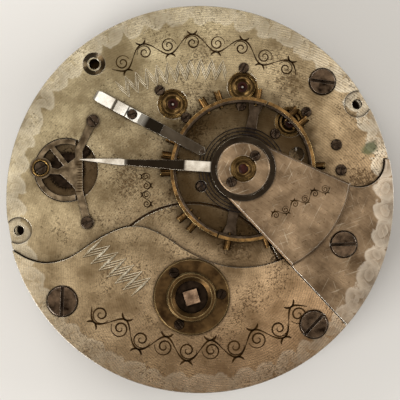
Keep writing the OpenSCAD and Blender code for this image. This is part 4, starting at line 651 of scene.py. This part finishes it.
# fire gilding under old oil: deep brown gold that lights up in thin rings
gilt = finish("turned_fire_gilt", "#6e5633", "#382816", 0.7, 0.20, 0.08, dirt_and_shade="#120904", dirt_and_shade_reach=0.6,
              rubbed_highlight="#c49d5a")
tree = gilt.node_tree
axes = add(tree, "ShaderNodeSeparateXYZ", {0: tree.nodes["in_mm"].outputs[0]}).outputs
flat = add(tree, "ShaderNodeCombineXYZ", {"X": axes["X"], "Y": axes["Y"]}).outputs[0]
from_axis = FARTHEST
for arbor in ("third_pinion", "fourth_pinion", "escape_pinion", "balance_staff"):
    away = add(tree, "ShaderNodeVectorMath", {0: flat, 1: axis_of(arbor)},
               operation="DISTANCE").outputs["Value"]
    from_axis = add(tree, "ShaderNodeMath", {0: away, 1: from_axis}, operation="MINIMUM").outputs[0]
step_turn = add(tree, "ShaderNodeMath", {0: from_axis, 1: 2 * math.pi / STEP_PITCH},
                operation="MULTIPLY").outputs[0]
step = add(tree, "ShaderNodeMath", {0: step_turn}, operation="SINE").outputs[0]
step_tone = add(tree, "ShaderNodeMapRange", {0: step, 1: -1.0, 2: 1.0, 3: 0.62, 4: 1.12}).outputs[0]
skin = add(tree, "ShaderNodeVectorMath", {0: tree.nodes["tone"].outputs[2], "Scale": step_tone},
           operation="SCALE").outputs[0]
tree.links.new(skin, tree.nodes["soiled_and_shaded"].inputs[7])
groove = add(tree, "ShaderNodeBump", {"Height": step, "Strength": 0.6, "Distance": 0.02 * MM,
                                      "Normal": tree.nodes["grain"].outputs[0]}).outputs[0]
tree.links.new(groove, tree.nodes["Principled BSDF"].inputs["Normal"])
dress(gilt, "jewel_settings", "balance_cap_setting", "adjuster_collar")

# %% [markdown]
# ## Tarnished brass
# The balance rim is brass fused on steel, with brass screws, and the cap over the ratchet is turned
# brass. Out in the air they went brown and stayed bright only where something rubs: the base with
# darker colours and light edges, which are wear and a painted highlight together.

# %% Tarnished brass
# brass browned by air: dark between the screws with dirt and painted shade, yellow along every edge with wear and
# a painted highlight
rim_brass = finish("tarnished_balance_brass", "#7a5b34", "#3a2a18", 0.8, 0.26, 0.08, dirt_and_shade="#1f1408",
                   dirt_and_shade_reach=0.3, rubbed_highlight="#e3c78c")
dress(rim_brass, "balance_rim", "timing_screws")
# brass browned by handling: broad, dull patches with a turned rim made bright by wear and a painted highlight
cap_brass = finish("tarnished_cap_brass", "#5c4529", "#2f2011", 1.5, 0.36, 0.10, dirt_and_shade="#0f0803",
                   dirt_and_shade_reach=0.7, edge=0.12, rubbed_highlight="#d8bd86")
dress(cap_brass, "ratchet_cap")

# %% [markdown]
# ## Screws and steels
# Screws were browned in heat over a polish: dark, patchy and glossy, with slots dark from old oil and
# painted shade. The regulator and the balance's arms are steel gone grey, and the scale over the
# regulator was handled lighter. Click and ratchet are black with oil. Pinions were cut from bright bar,
# and springs are blued. All are the base with other colours, and with grain, dirt and painted shade, and
# worn edges with a painted highlight, of other sizes.

# %% Screws and steels
# steel browned in heat: almost black, with glossy brown patches on a polished head
browned = finish("browned_screw_steel", "#5c4a39", "#150d07", 1.3, 0.22, 0.06, dirt_and_shade="#0a0604",
                 dirt_and_shade_reach=0.6, edge=0.08, rubbed_highlight="#c0b1a1")
dress(browned, "plate_screws", "cock_screw")
# the same on small heads: finer patches and thinner edges of wear and painted highlight
small_browned = finish("browned_small_screw_steel", "#483a2d", "#140c07", 0.6, 0.24, 0.06, dirt_and_shade="#070402",
                       dirt_and_shade_reach=0.45, edge=0.035, rubbed_highlight="#8d7f70")
dress(small_browned, "potance_screws", "lobe_screws", "setting_screws", "balance_cap_screws",
      "regulator_bridge_screws", "stud_arm_screw")
# steel left to the air: a dull brownish grey
grey_steel = finish("greyed_steel", "#4a3d30", "#281e14", 1.0, 0.34, 0.10, dirt_and_shade="#140d07", dirt_and_shade_reach=0.4,
                    rubbed_highlight="#94877a")
dress(grey_steel, "regulator_adjuster", "hairspring_stud", "balance_arms")
# the same steel kept lighter by hands: a warm grey with a soft shine
scale_steel = finish("handled_scale_steel", "#77664f", "#443727", 0.9, 0.30, 0.10, dirt_and_shade="#1c120a",
                     dirt_and_shade_reach=0.4, rubbed_highlight="#b8aa98")
dress(scale_steel, "regulator_bridge")
# steel under old oil: black, lighter only on its edges, by wear and a painted highlight
oily_steel = finish("oiled_ratchet_steel", "#2c2118", "#150f09", 0.8, 0.34, 0.08, dirt_and_shade="#060302",
                    dirt_and_shade_reach=0.6, rubbed_highlight="#5a4a3a")
dress(oily_steel, "ratchet_wheel", "click", "regulator_wheel", "ratchet_cap_screws")
# steel cut from bright bar: a plain light grey
cut_steel = finish("cut_pinion_steel", "#a39a8d", "#6f675c", 1.0, 0.28, 0.08)
dress(cut_steel, "centre_pinion", "cannon_pinion", "third_pinion", "fourth_pinion", "escape_wheel",
      "escape_pinion", "pallet_fork", "pallet_arbor", "balance_staff", "roller", "minute_stud")
# blued steel darkened by oil: nearly black
spring_steel = finish("blued_spring_steel", "#2a2524", "#141011", 1.0, 0.30, 0.08)
dress(spring_steel, "click_spring")

# %% [markdown]
# ## Jewels
# The jewels are polished ruby, drilled and cupped for oil. Clear ruby would need light behind it. Here
# it lies over dark metal under a film of old oil, so it is a dark red surface with ruby's index of
# refraction and a reflection that the oil holds back.

# %% Oiled ruby
RUBY_IOR = 1.77
# polished ruby under oil: a dark red-brown drop with little gloss
ruby = finish("oiled_ruby", "#3d1407", "#1e0a03", 0.5, 0.42, 0.30, dirt_and_shade="#0e0402", metallic=0.0)
ruby_shader = ruby.node_tree.nodes["Principled BSDF"]
ruby_shader.inputs["IOR"].default_value = RUBY_IOR
ruby_shader.inputs["Specular IOR Level"].default_value = 0.07
dress(ruby, "upper_jewels", "lower_jewels", "balance_cap_jewel", "pallet_stones")

# %% [markdown]
# ## Strips
# Springs and engraved lines are all long strips with four corners to their section. A curve with a flat
# bevel would do, but joining rings of four corners, one after the other, gives a closed mesh straight
# away. A second helper makes a piece of it, which rides on a body of the movement and takes a slot.

# %% Strip maker
def sweep(mesh, rings):
    """Joins rings of four corners, one after the other, into a closed strip."""
    last = None
    for corners in rings:
        ring = [mesh.verts.new(corner) for corner in corners]
        if last:
            for k in range(4):
                mesh.faces.new((last[k], last[(k + 1) % 4], ring[(k + 1) % 4], ring[k]))
        else:
            mesh.faces.new(ring)
        last = ring
    mesh.faces.new(last[::-1])


def piece_of(name, mesh, material, body):
    bmesh.ops.recalc_face_normals(mesh, faces=mesh.faces)
    data = bpy.data.meshes.new(name)
    mesh.to_mesh(data)
    mesh.free()
    data.materials.append(material)
    piece = bpy.data.objects.new(name, data)
    scene.collection.objects.link(piece)
    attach(piece, body)
    return piece


# %% [markdown]
# ## Springs
# A hairspring is a steel ribbon, wound in a flat spiral from the stud to the collet. The solid stands
# for it with a few turns. Here it gets the close coils of a real one, and so does the mainspring in its
# barrel. A Screw modifier winds spirals too, but walking along the spiral also takes its radius from
# one given size to another. The hairspring is 0.1 mm thick, twice the real one, so that it shows.

# %% Spiral strips
STEPS_A_TURN = 60


def spiral(name, solid, centre, outer, inner, turns, start, thickness, body):
    """Sizes in mm, start in degrees. The strip is as high as the solid that it stands for."""
    low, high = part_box(solid)
    half = thickness / 2
    section = ((half, low.z), (half, high.z), (-half, high.z), (-half, low.z))
    steps = round(turns * STEPS_A_TURN)
    rings = []
    for i in range(steps + 1):
        share = i / steps
        a = math.radians(start) + share * turns * 2 * math.pi
        r = outer + (inner - outer) * share
        rings.append([((centre[0] + (r + side) * math.cos(a)) * MM,
                       (centre[1] + (r + side) * math.sin(a)) * MM, z) for side, z in section])
    mesh = bmesh.new()
    sweep(mesh, rings)
    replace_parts(piece_of(name, mesh, spring_steel, body), solid)
    print(name, "%.1f turns, gap %.2f mm" % (turns, (outer - inner) / turns - thickness))


spiral("hairspring_coils", "hairspring", balance_axis, 4.9, 1.02, 10.5, 156.5, 0.10, "frame")
spiral("mainspring_coils", "mainspring", axis_of("barrel_arbor"), 8.15, 2.6, 12, 40, 0.2, "barrel")

# %% [markdown]
# ## Engraving
# Engraved lines are cut by hand and go dark with tarnish. At this size a cut is a line up to 0.25 mm
# wide that swells in the middle and thins at its ends. Cutting them into the plates would change the
# solids, so each is laid into the plate as a thin closed strip that stands out by a few thousandths of
# a millimetre.

# %% Strips for cut lines
CUT_DEPTH = 0.02 * MM
END_WIDTH = 0.35


def cut_lines(name, lines, height, material):
    """lines: list of (points in mm, width in mm)"""
    mesh = bmesh.new()
    for points, width in lines:
        rings = []
        for i, (x, y) in enumerate(points):
            before = points[max(i - 1, 0)]
            after = points[min(i + 1, len(points) - 1)]
            dx, dy = after[0] - before[0], after[1] - before[1]
            length = math.hypot(dx, dy) or 1.0
            swell = END_WIDTH + (1 - END_WIDTH) * math.sin(math.pi * i / (len(points) - 1))
            ox, oy = -dy / length * width * swell / 2, dx / length * width * swell / 2
            section = ((-1, height), (1, height), (1, height - CUT_DEPTH), (-1, height - CUT_DEPTH))
            rings.append([((x + side * ox) * MM, (y + side * oy) * MM, z) for side, z in section])
        sweep(mesh, rings)
    piece_of(name, mesh, material, "frame")
    print(name, len(lines), "cuts")


# nickel cut through and tarnished: matt dark brown, a line and no shine
dark_cut = finish("tarnished_engraving", "#432f17", "#24170a", 1.5, 0.55, 0.10, edge=0.005)
print(dark_cut.name, "for cuts %.2f mm thick" % (CUT_DEPTH / MM))

# %% [markdown]
# The ornament is a plain scrolling vine: a wave along an arc, with a curl in each bend and two small
# leaves on it. Each line could be drawn as a curve by hand. Worked out from the arc, one function fits
# every vine, whatever its length.

# %% Vine maker
STEM_STEPS, CURL_STEPS, LEAF_STEPS = 12, 30, 7
CURL_TURN = 3.4 * math.pi
CURL_SIZE, CURL_SHRINK = 0.92, 0.80  # as shares of the swing
LEAF_STEP, LEAF_BEND = 0.11, 0.16  # a share of the swing, and radians


def vine(centre, radius, first, last, wave, swing, width):
    """Stem, curls and leaves along an arc. Sizes in mm, angles in degrees."""
    lines = []
    start, span = math.radians(first), math.radians(last - first)
    bends = 2 * max(1, round(abs(span) * radius / wave))

    def at(r, a):
        return centre[0] + r * math.cos(a), centre[1] + r * math.sin(a)

    for k in range(bends):
        side = 1 if k % 2 == 0 else -1
        bend_a = start + span * (k + 0.5) / bends
        shares = [i / STEM_STEPS for i in range(STEM_STEPS + 1)]
        stem = [at(radius + side * swing * math.sin(math.pi * share), start + span * (k + share) / bends)
                for share in shares]
        lines.append((stem, width))
        x, y = at(radius, bend_a)
        curl = []
        for j in range(CURL_STEPS + 1):
            turn = bend_a + side * (0.5 * math.pi - j / CURL_STEPS * CURL_TURN)
            size = swing * (CURL_SIZE - CURL_SHRINK * j / CURL_STEPS)
            curl.append((x + size * math.cos(turn), y + size * math.sin(turn)))
        lines.append((curl, width * 0.8))
        for hand in (-1, 1):
            x, y = at(radius + side * swing, bend_a)
            leaf = [(x, y)]
            for i in range(1, LEAF_STEPS + 1):
                turn = bend_a + hand * (0.5 * math.pi - LEAF_BEND * i * side)
                x, y = x + swing * LEAF_STEP * math.cos(turn), y + swing * LEAF_STEP * math.sin(turn)
                leaf.append((x, y))
            lines.append((leaf, width))
    return lines


# %% [markdown]
# Four vines lie on the movement: along the top, along the bottom of the bridge, beside the balance and
# on the cock. The last two follow arcs so wide that they are almost straight, so that all four come
# from the one function, and a table says where each lies.

# %% Vines
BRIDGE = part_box("barrel_bridge")[1].z
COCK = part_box("balance_cock")[1].z
PROUD = 0.004 * MM
VINES = (
    # name, centre of the arc, its radius, first and last angle, wave, swing, width of a cut, level
    ("top_scroll", (0, 0), 17.5, 52, 124, 4.9, 0.95, 0.20, TOP),
    ("bridge_scroll", (0, 0), 16.9, 225, 315, 5.4, 1.15, 0.24, BRIDGE),
    ("middle_scroll", (-65.9, 0.0), 60, -1.0, 2.9, 2.1, 0.5, 0.14, TOP),
    ("cock_scroll", (39.3, -53.2), 60, 121.6, 114.6, 2.5, 0.45, 0.13, COCK),
)
for name, *shape, level in VINES:
    cut_lines(name, vine(*shape), level + PROUD, dark_cut)

# %% [markdown]
# ## Bright zig-zags
# Across the top and down the left of the bridge the tool was rocked from edge to edge as it moved, and
# left bands of zig-zags, each a few cuts deep. A fresh cut is brighter than the plate, and its far side
# lies in shade, so every zig-zag is one strip of fresh metal with a painted highlight and one of painted
# shade beside it. Bump would show them too, but only in some lights.

# %% Zig-zag bands
def zigzag(path, pitch, height, slant, copies, step):
    """Strokes from side to side along a path of points in mm. slant leans the strokes along the path."""
    corners = []
    travelled, side = 0.0, 1
    for (x0, y0), (x1, y1) in zip(path, path[1:]):
        length = math.hypot(x1 - x0, y1 - y0)
        ux, uy = (x1 - x0) / length, (y1 - y0) / length
        while travelled < length:
            ahead, aside = travelled + slant * side, side * height / 2
            corners.append((x0 + ux * ahead - uy * aside, y0 + uy * ahead + ux * aside, -uy, ux))
            travelled += pitch / 2
            side = -side
        travelled -= length
    strokes = []
    for c in range(copies):
        shifted = [(x + nx * step * c, y + ny * step * c) for x, y, nx, ny in corners]
        strokes += [[a, ((a[0] + b[0]) / 2, (a[1] + b[1]) / 2), b] for a, b in zip(shifted, shifted[1:])]
    return strokes


PITCH, COPIES, STEP = 1.15, 3, 0.42
BAND_X, BAND_Y, BAND_R = 0.3, -4.4, 18.5
BRIGHT_WIDTH, SHADE_WIDTH = 0.06, 0.09
SHADE_X, SHADE_Y = 0.05, -0.07
SHADE_PROUD, BRIGHT_PROUD = 0.003 * MM, 0.005 * MM
# a fresh cut in nickel: pale, with a painted highlight
bright_cut = finish("bright_cut_nickel", "#d6cbb4", "#ada085", 1.0, 0.25, 0.08, edge=0.005)
# the far side of the cut: brown and dull, a painted shade
shade_cut = finish("shaded_cut_nickel", "#584932", "#3e301d", 1.0, 0.40, 0.08, edge=0.005)
top_angles = [math.radians(a) for a in range(119, 79, -1)]
top_path = [(BAND_X + BAND_R * math.cos(a), BAND_Y + BAND_R * math.sin(a)) for a in top_angles]
bridge_path = [(-12.4, -5.6), (-10.2, -7.4), (-8.2, -9.0), (-6.3, -10.5)]
for name, path, height, slant, level in (("top_zigzag", top_path, 1.45, 0.0, TOP),
                                         ("bridge_zigzag", bridge_path, 2.1, 0.5, BRIDGE)):
    cuts = zigzag(path, PITCH, height, slant, COPIES, STEP)
    shades = [([(x + SHADE_X, y + SHADE_Y) for x, y in points], SHADE_WIDTH) for points in cuts]
    brights = [(points, BRIGHT_WIDTH) for points in cuts]
    cut_lines(name + "_shade", shades, level + SHADE_PROUD, shade_cut)
    cut_lines(name, brights, level + BRIGHT_PROUD, bright_cut)

# %% [markdown]
# ## Regulator scale
# The steel bridge over the regulator carries a row of short cuts along its straight edge, which the
# index points at. Every fifth is longer. A striped texture would do from afar, but strips have ends
# and stay sharp close up. They are 0.13 mm wide, coarser than real ones, so that they show.

# %% Scale marks
MARKS, MARK_PITCH, FIRST_MARK = 12, 0.30, 0.85
MARK_WIDTH, SHORT_MARK, LONG_MARK = 0.13, 0.62, 0.80
WIDEST, GAP = 0.3, 0.03  # how far from the edge a mark is widest, and where it ends
EDGE_FROM_WHEEL = 1.86
wheel_turn = next(joint for joint in frame["joints"] if joint["name"] == "regulator_wheel_turn")
edge_x = wheel_turn["pos_m"][0] / MM + EDGE_FROM_WHEEL
marks = []
for k in range(MARKS):
    y = FIRST_MARK + MARK_PITCH * k
    inner_end = edge_x - (SHORT_MARK if k % 5 else LONG_MARK)
    marks.append(([(inner_end, y), (edge_x - WIDEST, y), (edge_x - GAP, y)], MARK_WIDTH))
cut_lines("scale_marks", marks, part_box("regulator_bridge")[1].z + PROUD, dark_cut)

# %% [markdown]
# ## Size
# The dressed movement has to stay as large as its solids, whose box was taken when they were loaded.

# %% Update the scene
bpy.context.view_layer.update()
